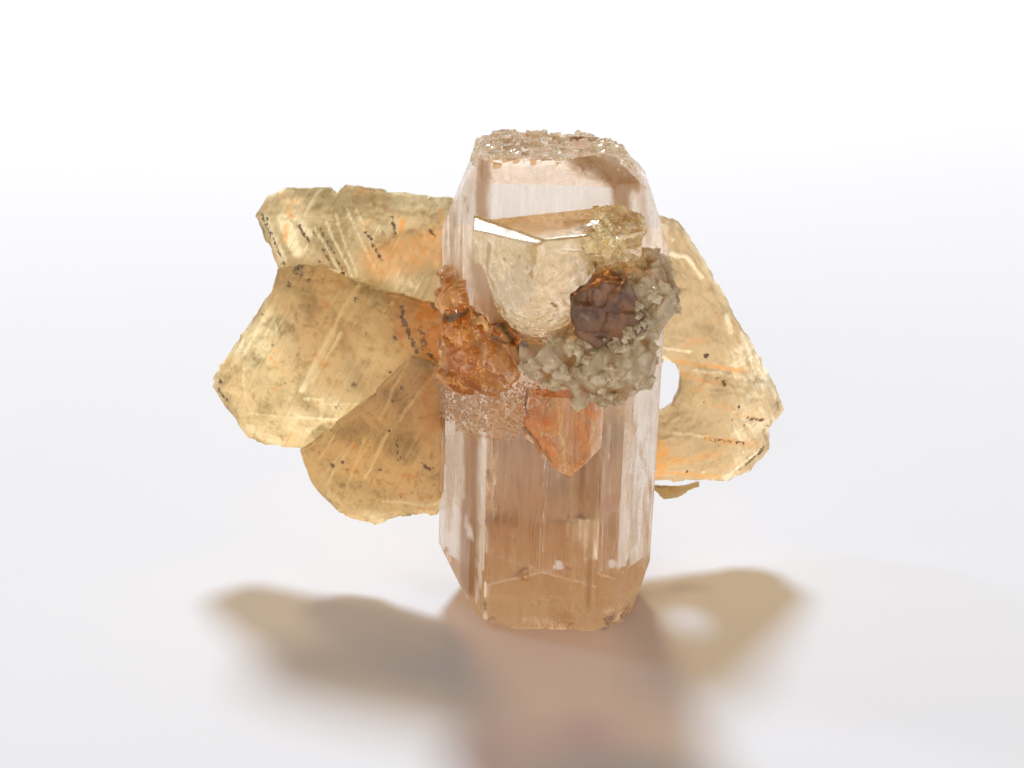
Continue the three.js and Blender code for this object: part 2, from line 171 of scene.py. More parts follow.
class Recipe(Tree):
    """One material and the nodes that make it."""

    def __init__(self, name: str) -> None:
        """Starts an empty material called name."""
        self.material = bpy.data.materials.new(name)
        self.material.use_nodes = True
        super().__init__(self.material.node_tree)
        self.tree.nodes.clear()

    def coords(self, stretch: tuple[float, float, float] = EVEN) -> Wire:
        """Object coordinates, each axis scaled by stretch."""
        place = self.wire("ShaderNodeTexCoord", {}, {}, "Object")
        if stretch == EVEN:
            return place
        return self.wire("ShaderNodeMapping", {}, {"Vector": place, "Scale": stretch})

    def stored(self, layer: "Layer", key: str) -> Wire:
        """Output key of the layer that the piece carries."""
        return self.wire("ShaderNodeAttribute", {"attribute_name": layer.value[0]}, {}, key)

    def noise(
        self,
        size: float,
        detail: float = 2.0,
        rough: float = 0.5,
        stretch: tuple[float, float, float] = EVEN,
        warp: float = 0.0,
    ) -> Wire:
        """Noise from about 0.2 to 0.8 with patches size millimetres wide.

        Args:
            size: width of a patch, mm.
            detail: octaves.
            rough: weight of each octave beside the last.
            stretch: scale of each axis; under 1 draws the patches out along it.
            warp: how far the pattern is pushed about.

        Returns:
            The noise.
        """
        inputs = {
            "Vector": self.coords(stretch),
            "Scale": PER_MM / size,
            "Detail": detail,
            "Roughness": rough,
            "Distortion": warp,
        }
        return self.wire("ShaderNodeTexNoise", {}, inputs, "Fac")

    def cells(self, size: float) -> Wire:
        """Distance from the nearest edge in a pattern of cells size millimetres wide."""
        inputs = {"Vector": self.coords(), "Scale": PER_MM / size}
        settings = {"feature": "DISTANCE_TO_EDGE"}
        return self.wire("ShaderNodeTexVoronoi", settings, inputs, "Distance")

    def paint(self) -> tuple[Wire, Wire, Wire, Wire]:
        """The piece's painted layers: rust, pale, dirt and shade."""
        tint = self.node("ShaderNodeVertexColor", {"layer_name": Layer.TINT.value[0]}, {})
        parts = self.node("ShaderNodeSeparateColor", {}, {0: self.out(tint, "Color")})
        rust, pale, dirt = (self.out(parts, key) for key in ("Red", "Green", "Blue"))
        return rust, pale, dirt, self.out(tint, "Alpha")

    def blend(self, factor: Value, first: Value, second: Value) -> Wire:
        """Colour first, turning to second as factor goes from 0 to 1."""
        inputs = {0: factor, 6: first, 7: second}
        return self.wire("ShaderNodeMix", {"data_type": "RGBA"}, inputs, 2)

    def bump(self, height: Wire, depth: float, strength: float = 1.0) -> Wire:
        """A normal bent by height, which is depth millimetres from 0 to 1."""
        inputs = {"Height": height, "Distance": depth * MM, "Strength": strength}
        return self.wire("ShaderNodeBump", {}, inputs)

    def shader(self, **inputs: Value) -> Wire:
        """A Principled shader; an input's underscores stand for spaces."""
        named = {key.replace("_", " "): value for key, value in inputs.items()}
        return self.wire("ShaderNodeBsdfPrincipled", {}, named)

    def glow(self, colour: Colour) -> Wire:
        """A shader that lets light of that colour soak through."""
        return self.wire("ShaderNodeBsdfTranslucent", {}, {0: colour})

    def shaded(self, surface: Wire, shade: Colour, calm: bool = False) -> Wire:
        """surface, which lets lamps shine through it in that shade.

        Args:
            surface: the shader to look at.
            shade: colour of the light that comes through.
            calm: treats light that bounces between pieces the same way, which keeps harsh
                bright patches off the floor.

        Returns:
            The surface with its shadow.
        """
        path = self.node("ShaderNodeLightPath", {}, {})
        lit = self.out(path, "Is Shadow Ray")
        if calm:
            lit = lit + self.out(path, "Is Diffuse Ray")
        return self.mixed(lit, surface, self.wire("ShaderNodeBsdfTransparent", {}, {0: shade}))

    def mixed(self, factor: Value, first: Wire, second: Wire) -> Wire:
        """Shader first, giving way to second as factor goes from 0 to 1."""
        return self.wire("ShaderNodeMixShader", {}, {0: factor, 1: first, 2: second})

    def finish(self, surface: Wire, inside: Wire | None = None) -> Material:
        """Plugs surface, and inside where there is one, into the output."""
        inputs = {"Surface": surface}
        if inside is not None:
            inputs["Volume"] = inside
        self.node("ShaderNodeOutputMaterial", {}, inputs)
        return self.material


# ---- noise and meshes ----


def lattice_values(cells: Array, seed: int) -> Array:
    """Repeatable values from 0 to 1 for whole-number lattice points, given as rows."""
    x, y, z = (cells[:, axis].astype(np.int64) for axis in range(3))
    mixed = sum(part * stir for part, stir in zip((x, y, z, seed), STIR)) & 0xFFFFFFFF
    mixed = ((mixed ^ (mixed >> 13)) * 1274126177) & 0xFFFFFFFF
    return ((mixed ^ (mixed >> 16)) & 0xFFFF) / 65535.0


def value_noise(points: Array, seed: int) -> Array:
    """Smooth noise from 0 to 1 with bumps about one unit wide.

    Args:
        points: one row of three coordinates a point.
        seed: picks the pattern.

    Returns:
        One value a point.
    """
    base = np.floor(points)
    part = points - base
    ease = part * part * (3.0 - 2.0 * part)
    total = np.zeros(len(points))
    for corner in range(8):
        bits = np.array([corner & 1, corner >> 1 & 1, corner >> 2 & 1])
        weight = np.prod(np.where(bits == 1, ease, 1.0 - ease), axis=1)
        total += weight * lattice_values(base + bits, seed)
    return total


def layered_noise(points: Array, size: float, octaves: int, seed: int) -> Array:
    """Noise with lumps size wide and finer ones on them.

    Args:
        points: one row of three coordinates a point.
        size: width of its largest lumps.
        octaves: how many sizes of lumps it has.
        seed: picks the pattern.

    Returns:
        One value a point, from about -0.5 to 0.5.
    """
    total = np.zeros(len(points))
    weight, reach = 1.0, 0.0
    for octave in range(octaves):
        total += weight * (value_noise(points * (2.0**octave / size), seed + octave) - 0.5)
        reach += weight
        weight *= 0.5
    return total / reach


def cell_noise(points: Array, size: float, seed: int) -> tuple[Array, Array, Array]:
    """A pattern of rough cells size wide.

    Args:
        points: one row of three coordinates a point.
        size: width of a cell.
        seed: picks the pattern.

    Returns:
        For each point its nearest centre's distance and value, and its height on a plane
        through that centre that leans its own way.
    """
    scaled = points / size
    base = np.floor(scaled)
    nearest = np.full(len(points), np.inf)
    value, lean = np.zeros(len(points)), np.zeros(len(points))
    for dx in (-1, 0, 1):
        for dy in (-1, 0, 1):
            for dz in (-1, 0, 1):
                cell = base + np.array([dx, dy, dz])
                jitter = np.stack([lattice_values(cell, seed + k) for k in range(3)], axis=1)
                distance = np.linalg.norm(cell + jitter - scaled, axis=1)
                closer = distance < nearest
                nearest = np.where(closer, distance, nearest)
                value = np.where(closer, lattice_values(cell, seed + 9), value)
                ways = np.stack([lattice_values(cell, seed + 20 + k) for k in range(3)], axis=1)
                height = np.sum((ways - 0.5) * (scaled - cell - jitter), axis=1)
                lean = np.where(closer, height, lean)
    return nearest, value, lean


def soft_step(values: Array, low: float, high: float) -> Array:
    """0 up to low, 1 from high on, and smooth between; low may be the larger."""
    part = np.clip((values - low) / (high - low), 0.0, 1.0)
    return part * part * (3.0 - 2.0 * part)


def segment_distance(points: Array, start: Point, end: Point) -> Array:
    """Distance of each point of a plane from the line between start and end."""
    a, b = np.array(start, float), np.array(end, float)
    along = b - a
    length = max(float(along @ along), TINY)
    part = np.clip((points - a) @ along / length, 0.0, 1.0)
    return np.linalg.norm(points - a - part[:, None] * along, axis=1)


def new_piece(
    name: str, points: Array, faces: Iterable[Sequence[int]], smooth: bool = True
) -> Object:
    """A mesh object at the origin.

    Args:
        name: the piece's name.
        points: corners in metres.
        faces: corner numbers of each face, anticlockwise from outside.
        smooth: shades across the faces.

    Returns:
        The object, linked to the scene.
    """
    mesh = bpy.data.meshes.new(name)
    mesh.from_pydata(points.tolist(), [], [list(map(int, face)) for face in faces])
    mesh.polygons.foreach_set("use_smooth", [smooth] * len(mesh.polygons))
    mesh.validate()
    piece = bpy.data.objects.new(name, mesh)
    bpy.context.scene.collection.objects.link(piece)
    return piece


def node_copy(name: str, node: Object) -> Object:
    """A copy of a solid with its loose triangles joined into whole facets.

    Args:
        name: the copy's name.
        node: the solid.

    Returns:
        The copy, linked to the scene.
    """
    solid = bmesh.new()
    solid.from_mesh(node.data)
    bmesh.ops.remove_doubles(solid, verts=solid.verts, dist=WELD)
    bmesh.ops.dissolve_limit(
        solid, angle_limit=math.radians(FLAT), verts=solid.verts, edges=solid.edges
    )
    mesh = bpy.data.meshes.new(name)
    solid.to_mesh(mesh)
    solid.free()
    mesh.polygons.foreach_set("use_smooth", [False] * len(mesh.polygons))
    piece = bpy.data.objects.new(name, mesh)
    bpy.context.scene.collection.objects.link(piece)
    return piece


def baked_modifier(piece: Object, modifier: bpy.types.Modifier) -> None:
    """Puts the modifier's result into piece's mesh and takes the modifier off."""
    bpy.context.view_layer.update()
    shown = piece.evaluated_get(bpy.context.evaluated_depsgraph_get())
    made = bpy.data.meshes.new_from_object(shown)
    piece.modifiers.remove(modifier)
    old, piece.data = piece.data, made
    bpy.data.meshes.remove(old)


def remeshed(piece: Object, voxel: float) -> None:
    """Replaces piece's mesh by an even, smooth one with cells voxel millimetres wide."""
    remesh = piece.modifiers.new("remesh", "REMESH")
    remesh.mode = "VOXEL"
    remesh.voxel_size = voxel * MM
    baked_modifier(piece, remesh)
    piece.data.polygons.foreach_set("use_smooth", [True] * len(piece.data.polygons))


def corners(piece: Object) -> Array:
    """The piece's corners in millimetres, one a row."""
    flat = np.zeros(len(piece.data.vertices) * 3)
    piece.data.vertices.foreach_get("co", flat)
    return flat.reshape(-1, 3) / MM


def corner_normals(piece: Object) -> Array:
    """The outward direction at each corner."""
    flat = np.zeros(len(piece.data.vertices) * 3)
    piece.data.vertex_normals.foreach_get("vector", flat)
    return flat.reshape(-1, 3)


def place_corners(piece: Object, points: Array) -> None:
    """Moves the piece's corners to points, in millimetres."""
    piece.data.vertices.foreach_set("co", (points * MM).ravel())
    piece.data.update()


class Layer(Enum):
    """What a piece carries at each corner: the attribute's name, its type and its key."""

    TINT = ("tint", "FLOAT_COLOR", "color")
    FROST = ("frost", "FLOAT", "value")
    GRAIN = ("grain", "FLOAT", "value")
    FOLD = ("fold", "FLOAT_VECTOR", "vector")


def store(piece: Object, layer: Layer, values: Array) -> None:
    """Stores a row of values for each corner of piece; all but folds are kept from 0 to 1."""
    name, kind, key = layer.value
    if layer is not Layer.FOLD:
        values = np.clip(values, 0.0, 1.0)
    kept = piece.data.attributes.get(name)
    attribute = kept or piece.data.attributes.new(name, kind, "POINT")
    attribute.data.foreach_set(key, values.astype(np.float32).ravel())


def dress(piece: Object, material: Material, slot: str, node: str | None = None) -> Object:
    """Gives piece its material, hides the solid it stands for and hangs the piece on the body.

    Args:
        piece: the finished piece.
        material: its finish.
        slot: the name of its material slot, which is only written to the log.
        node: the solid it stands for, if any.

    Returns:
        The piece.
    """
    piece.data.materials.clear()
    piece.data.materials.append(material)
    piece.data.polygons.foreach_set("material_index", [0] * len(piece.data.polygons))
    if node:
        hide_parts(node)
    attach(piece, BODY)
    LOG.info("%s: %d faces, slot %s", piece.name, len(piece.data.polygons), slot)
    return piece


def tinted(colour: Colour, factor: float) -> Colour:
    """colour with its three channels scaled by factor."""
    return colour[0] * factor, colour[1] * factor, colour[2] * factor, 1.0


# ---- finishes ----


SOIL = (0.09, 0.05, 0.03, 1)  # dirt in the hollows of a clear stone


@dataclass(frozen=True)
class Veil:
    """The films, stains and flaws that lie on a clear stone, and its painted highlights, glints
    and shade.

    Attributes:
        haze: share of the surface that a thin even film covers.
        film: colour of that film.
        pale: colour of the bright flaws and of the painted highlights and glints.
        glow: colour of light that soaks through the bright flaws and painted highlights.
        stain: colour of the iron stains.
        shade: colour of the dusky patches and of the painted shade.
        size: width of the mottles in them, mm.
        upright: under 1 draws the mottles out along Z.
    """

    haze: float
    film: Colour
    pale: Colour
    glow: Colour
    stain: Colour
    shade: Colour
    size: float
    upright: float = 1.0

    def over(self, recipe: Recipe, clear: Wire) -> Wire:
        """Lays the veil over a surface.

        Args:
            recipe: the material's recipe.
            clear: the clear surface shader.

        Returns:
            The surface with its films, flaws, painted highlights and painted shade.
        """
        rust, pale, dirt, shade = recipe.paint()
        frost = recipe.stored(Layer.FROST, "Fac")
        mottle = recipe.noise(self.size, 4, 0.6, (1.0, 1.0, self.upright))
        fine = recipe.noise(self.size * 0.3, 3, 0.6, (1.0, 1.0, self.upright))
        # The pale layer carries pale flaws and painted highlights and glints alike; both make the
        # bright film here.
        flaw_and_glint = pale * (mottle.between(0.38, 0.56) * 0.75 + fine.between(0.4, 0.6) * 0.45)
        flaw_and_glint = (flaw_and_glint + frost * (fine * 0.6 + 0.5)).bounded()
        stain = (rust * (mottle.between(0.36, 0.6) * 0.7 + 0.35)).bounded()
        soil = ((dirt + fine.between(0.3, 0.7) * 0.5 - 0.25) * dirt.between(0.05, 0.3)).bounded()
        colour = recipe.blend(mottle.between(0.4, 0.66), self.film, tinted(self.film, 0.7))
        # The shade layer is dusky patches and, on the crystals, painted shade.
        colour = recipe.blend(shade, colour, self.shade)
        colour = recipe.blend(flaw_and_glint, colour, self.pale)
        colour = recipe.blend(stain, colour, self.stain)
        colour = recipe.blend(soil, colour, SOIL)
        normal = recipe.bump(mottle * 0.6 + fine * 0.4, 0.08, 0.7)
        film = recipe.shader(Base_Color=colour, Roughness=0.32, Normal=normal, IOR=FILM_IOR)
        lit = (flaw_and_glint * 0.2 + frost * 0.35 + 0.3 - soil * 0.3 - stain * 0.15 - shade * 0.3).bounded()
        film = recipe.mixed(lit, film, recipe.glow(self.glow))
        cover = mottle.between(0.34, 0.62) * self.haze + flaw_and_glint * 0.85 + stain * 0.8
        cover = (cover + shade * 0.8 + soil * 0.9).bounded()
        return recipe.mixed(cover, clear, film)


@dataclass(frozen=True)
class ClearStone:
    """See-through stone that takes some colours out of the light by its depth.

    Attributes:
        name: the material's name.
        ior: how strongly it bends light.
        roughness: of its surface.
        tint: colour that a deep piece shows.
        density: how fast the tint builds up, per metre.
        shade: colour of its shadow.
        veil: the films and flaws on it, and its painted highlights and painted shade.
        groove: depth of its fine upright grooves, mm.
        ripple: depth of its uneven waves, mm.
        ripple_size: width of a wave, mm.
    """

    name: str
    ior: float
    roughness: float
    tint: Colour
    density: float
    shade: Colour
    veil: Veil
    groove: float = 0.0
    ripple: float = 0.0
    ripple_size: float = 1.0

    def _normal(self, recipe: Recipe) -> Wire:
        """The surface's fine grooves and waves as a bent normal."""
        height = recipe.noise(0.28, 2, stretch=(1.0, 1.0, 0.02)) * self.groove
        height = height + recipe.noise(self.ripple_size, 3, 0.55) * self.ripple
        return recipe.bump(height, 1.0)

    def material(self) -> Material:
        """Builds the nodes.

        Returns:
            The finished material.
        """
        recipe = Recipe(self.name)
        clear = recipe.shader(
            Base_Color=(1, 1, 1, 1), Roughness=self.roughness, IOR=self.ior,
            Transmission_Weight=1.0, Normal=self._normal(recipe),
        )
        surface = recipe.shaded(self.veil.over(recipe, clear), self.shade, calm=True)
        absorb = {"Color": self.tint, "Density": self.density}
        return recipe.finish(surface, recipe.wire("ShaderNodeVolumeAbsorption", {}, absorb))


# ---- grains spread over a surface ----


@dataclass(frozen=True)
class Scatter:
    """Small grains that Geometry Nodes set over a host's surface.

    Attributes:
        name: of the piece made of the grains.
        slot: the name of its material slot, which is only written to the log.
        density: grains a square millimetre where the host's "grain" attribute is 1.
        smallest: radius of the smallest grain, mm.
        largest: radius of the largest, mm.
        seed: of the spread.
        flat: thickness of a grain beside its width.
        standing: turns the grains any way instead of laying them on the surface.
        lying: how far a grain that isn't standing may turn, radians.
        warp: how far the corners of a grain are pushed about, of its half width.
    """

    name: str
    slot: str
    density: float
    smallest: float
    largest: float
    seed: int
    flat: float = 1.0
    standing: bool = True
    lying: float = 0.35
    warp: float = 0.28

    def _sockets(self) -> dict[str, tuple[str, float | int]]:
        """Lists the tree's number inputs.

        Returns:
            Their types and values by name.
        """
        return {
            "Density": ("NodeSocketFloat", self.density / MM**2),
            "Smallest": ("NodeSocketFloat", self.smallest * MM),
            "Largest": ("NodeSocketFloat", self.largest * MM),
            "Flatness": ("NodeSocketFloat", self.flat),
            "Turn": ("NodeSocketFloat", math.tau if self.standing else self.lying),
            "Seed": ("NodeSocketInt", self.seed),
        }

    def _tree(self, material: Material) -> bpy.types.NodeTree:
        """Builds the node tree that spreads the grains.

        Args:
            material: the grains' finish.

        Returns:
            The tree; it gives back the grains without their host.
        """
        group = bpy.data.node_groups.new(self.name, "GeometryNodeTree")
        face = group.interface
        face.new_socket("Host", in_out="INPUT", socket_type="NodeSocketGeometry")
        for name, (kind, _) in self._sockets().items():
            face.new_socket(name, in_out="INPUT", socket_type=kind)
        face.new_socket("Grains", in_out="OUTPUT", socket_type="NodeSocketGeometry")
        tree = Tree(group)
        given = tree.node("NodeGroupInput", {}, {})
        host, density, smallest, largest, flat, turn, seed = (
            tree.out(given, number) for number in range(7)
        )

        named = {"Name": Layer.GRAIN.value[0]}
        mask = tree.wire("GeometryNodeInputNamedAttribute", {}, named, "Attribute")
        inputs = {"Mesh": host, "Density": density * mask, "Seed": seed}
        spread = tree.node("GeometryNodeDistributePointsOnFaces", {}, inputs)
        full = tree.wire("ShaderNodeCombineXYZ", {}, dict.fromkeys("XYZ", turn))
        settings = {"data_type": "FLOAT_VECTOR"}
        spin = tree.wire("FunctionNodeRandomValue", settings, {"Max": full, "Seed": seed}, "Value")
        inputs = {0: tree.out(spread, "Rotation"), 1: spin}
        turned = tree.wire("FunctionNodeRotateRotation", {"rotation_space": "LOCAL"}, inputs)
        inputs = {"Min": smallest, "Max": largest, "Seed": seed}
        size = tree.wire("FunctionNodeRandomValue", {}, inputs, 1)
        shape = tree.wire("ShaderNodeCombineXYZ", {}, {"X": 1.0, "Y": 0.8, "Z": flat})
        settings = {"operation": "SCALE"}
        scale = tree.wire("ShaderNodeVectorMath", settings, {0: shape, "Scale": size})

        inputs = {
            "Points": tree.out(spread, "Points"),
            "Instance": self._grain(tree),
            "Rotation": turned,
            "Scale": scale,
        }
        placed = tree.wire("GeometryNodeInstanceOnPoints", {}, inputs)
        real = tree.wire("GeometryNodeRealizeInstances", {}, {0: placed})
        inputs = {"Geometry": real, "Material": material}
        tree.node("NodeGroupOutput", {}, {0: tree.wire("GeometryNodeSetMaterial", {}, inputs)})
        return group

    def _grain(self, tree: Tree) -> Wire:
        """One grain about 1 in radius: a block whose corners are pushed about."""
        block = tree.wire("GeometryNodeMeshCube", {}, {"Size": (1.7, 1.7, 1.7)}, "Mesh")
        block = tree.wire("GeometryNodeSubdivideMesh", {}, {"Mesh": block, "Level": 1})
        inputs = {"Min": (-self.warp,) * 3, "Max": (self.warp,) * 3, "Seed": self.seed + 1}
        settings = {"data_type": "FLOAT_VECTOR"}
        push = tree.wire("FunctionNodeRandomValue", settings, inputs, "Value")
        return tree.wire("GeometryNodeSetPosition", {}, {"Geometry": block, "Offset": push})

    def grown(self, host: Object, material: Material) -> Object:
        """Makes the grains' piece.

        Args:
            host: the piece they sit on; its "grain" attribute says how thickly.
            material: their finish.

        Returns:
            The dressed piece.
        """
        piece = bpy.data.objects.new(self.name, host.data.copy())
        bpy.context.scene.collection.objects.link(piece)
        modifier = piece.modifiers.new("grains", "NODES")
        modifier.node_group = self._tree(material)
        values = self._sockets()
        for socket in modifier.node_group.interface.items_tree:
            if socket.name in values:
                modifier[socket.identifier] = values[socket.name][1]
        baked_modifier(piece, modifier)
        for attribute in list(piece.data.attributes):
            if attribute.name in (Layer.GRAIN.value[0], Layer.TINT.value[0]):
                piece.data.attributes.remove(attribute)
        return dress(piece, material, self.slot)


# ---- marks ----


class Tint(Enum):
    """What a mark on a surface is; the value is its channel in the painted attribute."""

    # PALE also carries painted highlights and glints, and SHADE also painted shade, on the pieces
    # whose marks say so.
    RUST = 0
    PALE = 1
    DIRT = 2
    SHADE = 3


@dataclass(frozen=True)
class Mark:
    """A spot or streak on a flat view of a piece.

    Attributes:
        kind: what it is.
        start: one end, mm.
        end: the other end; the same as start for a spot.
        width: across it, mm.
        strength: from 0 to 1.
    """

    kind: Tint
    start: Point
    end: Point
    width: float
    strength: float

    def cover(self, points: Array) -> Array:
        """How strongly the mark shows at each point, from 0 to 1."""
        distance = segment_distance(points, self.start, self.end)
        reach = self.width * 0.5 + 0.06
        return self.strength * soft_step(distance, reach * 1.35, reach * 0.45)


def marks(*rows: Tint | Sequence[float]) -> tuple[Mark, ...]:
    """Makes marks from a list of kinds, each with its strokes behind it.

    Args:
        rows: a kind, or a stroke: its two ends, or one place for a spot, in tenths of a
            millimetre, its width in hundredths and its strength in tenths.

    Returns:
        The marks in the same order.
    """
    made = []
    for row in rows:
        if isinstance(row, Tint):
            kind = row
            continue
        *ends, width, strength = row
        places = [place / 10 for place in ends]
        start, end = tuple(places[:2]), tuple(places[-2:])
        made.append(Mark(kind, start, end, width / 100, strength / 10))
    return tuple(made)


def painted(points: Array, marks_: Sequence[Mark], ragged: float, seed: int) -> Array:
    """The four layers of paint that the marks lay down.

    Args:
        points: two coordinates a row, mm.
        marks_: spots and streaks.
        ragged: how far their edges wander, mm.
        seed: of the wandering.

    Returns:
        One row a point: rust, pale, dirt and shade from 0 to 1.
    """
    flat = np.column_stack([points, np.zeros(len(points))])
    shifted = points + ragged * 2.0 * np.column_stack(
        [layered_noise(flat, 0.7, 3, seed), layered_noise(flat, 0.7, 3, seed + 50)]
    )
    layers = np.zeros((len(points), 4))
    for mark in marks_:
        channel = mark.kind.value
        layers[:, channel] = np.maximum(layers[:, channel], mark.cover(shifted))
    return layers


# ---- mica ----


MISS = 1e3  # mm, further than anything in the specimen
CLEARANCE = 0.06  # mm that a book keeps from the crystal
TAPER = 3.0  # mm over which a book's end slants to follow the crystal
STRETCH = 0.12  # how much streaks down a fold are squeezed to draw them out
LEAF = 0.12  # mm, thickness of a leaf that shows as a line in the rim


@dataclass(frozen=True)
class MicaFinish:
    """Pearly leaves that let light through.

    Attributes:
        name: the material's name.
        leaf: colour of its face.
        glow: colour of light that comes through it.
        warm: that light where iron has stained it.
        pale: that light where the leaves have split apart, and along the painted highlights on the
            fold ridges.
        dusk: that light where the leaves are smoky.
        clear: share of the light that goes through.
        shade: colour of its shadow, once for each side.
        smoke: how much of it is smoky, from 0 to 1.
    """

    name: str
    leaf: Colour
    glow: Colour
    warm: Colour
    pale: Colour
    dusk: Colour
    clear: float
    shade: Colour
    smoke: float

    @staticmethod
    def _streaks(recipe: Recipe) -> tuple[Wire, Wire]:
        """Draws the two sets of fine lines on a leaf.

        Args:
            recipe: the material's recipe.

        Returns:
            Lines down the folds, and lines that run along the rim.
        """
        place = recipe.stored(Layer.FOLD, "Vector")
        inputs = {"Vector": place, "Scale": (0.07, 1.0, 0.0)}
        drawn = recipe.wire("ShaderNodeMapping", {}, inputs)
        inputs = {"Vector": drawn, "Scale": 3.4, "Detail": 4.0, "Roughness": 0.65}
        down = recipe.wire("ShaderNodeTexNoise", {}, inputs, "Fac")
        inward = recipe.wire("ShaderNodeSeparateXYZ", {}, {0: place}, "Z")
        rim = inward + recipe.noise(2.0, 3, 0.6) * 1.2
        inputs = {"W": rim, "Scale": 1.0 / 0.34, "Detail": 3.0, "Roughness": 0.6}
        along = recipe.wire("ShaderNodeTexNoise", {"noise_dimensions": "1D"}, inputs, "Fac")
        return down, along.between(0.55, 0.68) * inward.between(2.6, 0.3)

    def material(self) -> Material:
        """Builds the nodes.

        Returns:
            The finished material.
        """
        recipe = Recipe(self.name)
        rust, pale, dirt, shade = recipe.paint()
        down, along = self._streaks(recipe)
        cloud = recipe.noise(2.8, 3, 0.55)
        mottle = recipe.noise(0.7, 5, 0.65, warp=0.4)
        speck = recipe.noise(0.3, 3, 0.65)
        zone = recipe.noise(4.5, 2)

        lines = down.between(0.52, 0.66) * zone.between(0.42, 0.60) * 0.8
        bright = zone.between(0.50, 0.64) * mottle.between(0.40, 0.62) * 0.75
        # This pale share is partly leaves that have split apart and partly painted highlights
        # along the fold ridges.
        parted_and_highlit = pale * (down.between(0.30, 0.55) * 0.9 + 0.3) + lines * 0.5 + along * 0.6
        parted_and_highlit = (parted_and_highlit + bright).bounded()
        stain = (rust * (mottle.between(0.34, 0.6) * 0.6 + 0.5)).bounded()
        stain = (stain + cloud.between(0.52, 0.72) * mottle.between(0.44, 0.66) * 0.6).bounded()
        soil = (dirt + speck.between(0.36, 0.62) * 1.1 - 0.8) * dirt.between(0.04, 0.2) * 1.7
        soil = (soil + speck.between(0.72, 0.77) * 0.45).bounded()
        smoke = mottle.between(0.46, 0.74) * self.smoke * 0.8 + shade * 0.8
        smoke = (smoke + down.between(0.46, 0.34) * self.smoke * 0.25).bounded()
        smoke = (smoke + cloud.between(0.50, 0.36) * self.smoke * 0.55).bounded()

        leaf = recipe.blend(smoke, self.leaf, tinted(self.leaf, 0.55))
        leaf = recipe.blend(parted_and_highlit, leaf, (0.95, 0.88, 0.68, 1))
        leaf = recipe.blend(stain * 0.8, leaf, (0.55, 0.26, 0.07, 1))
        leaf = recipe.blend(soil * 0.9, leaf, (0.22, 0.11, 0.045, 1))
        relief = mottle * 0.5 + down * 0.35 + parted_and_highlit * 0.3 - soil * 0.3
        normal = recipe.bump(relief, 0.26, 0.8)
        gloss = (0.16 + mottle * 0.28 + soil * 0.4).bounded()
        face = recipe.shader(
            Base_Color=leaf, Roughness=gloss, Normal=normal, IOR=MICA_IOR, Coat_Weight=0.3,
            Coat_Roughness=0.1,
        )
        glow = recipe.mixed(smoke, recipe.glow(self.glow), recipe.glow(self.dusk))
        glow = recipe.mixed(parted_and_highlit, glow, recipe.glow(self.pale))
        glow = recipe.mixed(stain, glow, recipe.glow(self.warm))
        share = ((1.0 - soil) * (parted_and_highlit * 0.12 + self.clear)).bounded()
        return recipe.finish(recipe.shaded(recipe.mixed(share, face, glow), self.shade))


@dataclass(frozen=True)
class Hull:
    """The convex body of the main crystal, as outward planes.

    Attributes:
        normals: their directions.
        reach: their distances from the origin, mm.
    """

    normals: Array
    reach: Array

    @classmethod
    def around(cls, node: Object, top: float) -> "Hull":
        """Wraps the lower part of a solid.

        Args:
            node: the solid.
            top: height up to which its corners count, mm.

        Returns:
            The upright and leaning planes of that part's hull.
        """
        solid = bmesh.new()
        solid.from_mesh(node.data)
        bmesh.ops.remove_doubles(solid, verts=solid.verts, dist=WELD)
        high = [vert for vert in solid.verts if vert.co.z > top * MM]
        bmesh.ops.delete(solid, geom=high, context="VERTS")
        bmesh.ops.convex_hull(solid, input=solid.verts)
        solid.normal_update()
        middle = sum((vert.co for vert in solid.verts), Vector()) / len(solid.verts)
        planes = {}
        for face in solid.faces:
            normal = face.normal.copy()
            if normal.dot(face.verts[0].co - middle) < 0:
                normal.negate()
            if abs(normal.z) < 0.5:
                key = tuple(round(part, 2) for part in normal)
                planes[key] = (tuple(normal), normal.dot(face.verts[0].co) * PER_MM)
        solid.free()
        return cls(*(np.array(parts) for parts in zip(*planes.values())))

    def entry(self, start: Array, way: Array, gap: float) -> Array:
        """How far along way each ray meets the hull, kept gap outside it.

        Args:
            start: where each ray has gone no way, one row a ray.
            way: the rays' shared direction.
            gap: clearance, mm.

        Returns:
            The distance along way, or MISS where a ray misses.
        """
        slope = self.normals @ way
        room = self.reach[None, :] + gap - start @ self.normals.T
        facing, leaving = slope < -TINY, slope > TINY
        enter = np.max(room[:, facing] / slope[facing], axis=1)
        leave = np.min(room[:, leaving] / slope[leaving], axis=1)
        return np.where(enter < leave, enter, MISS)


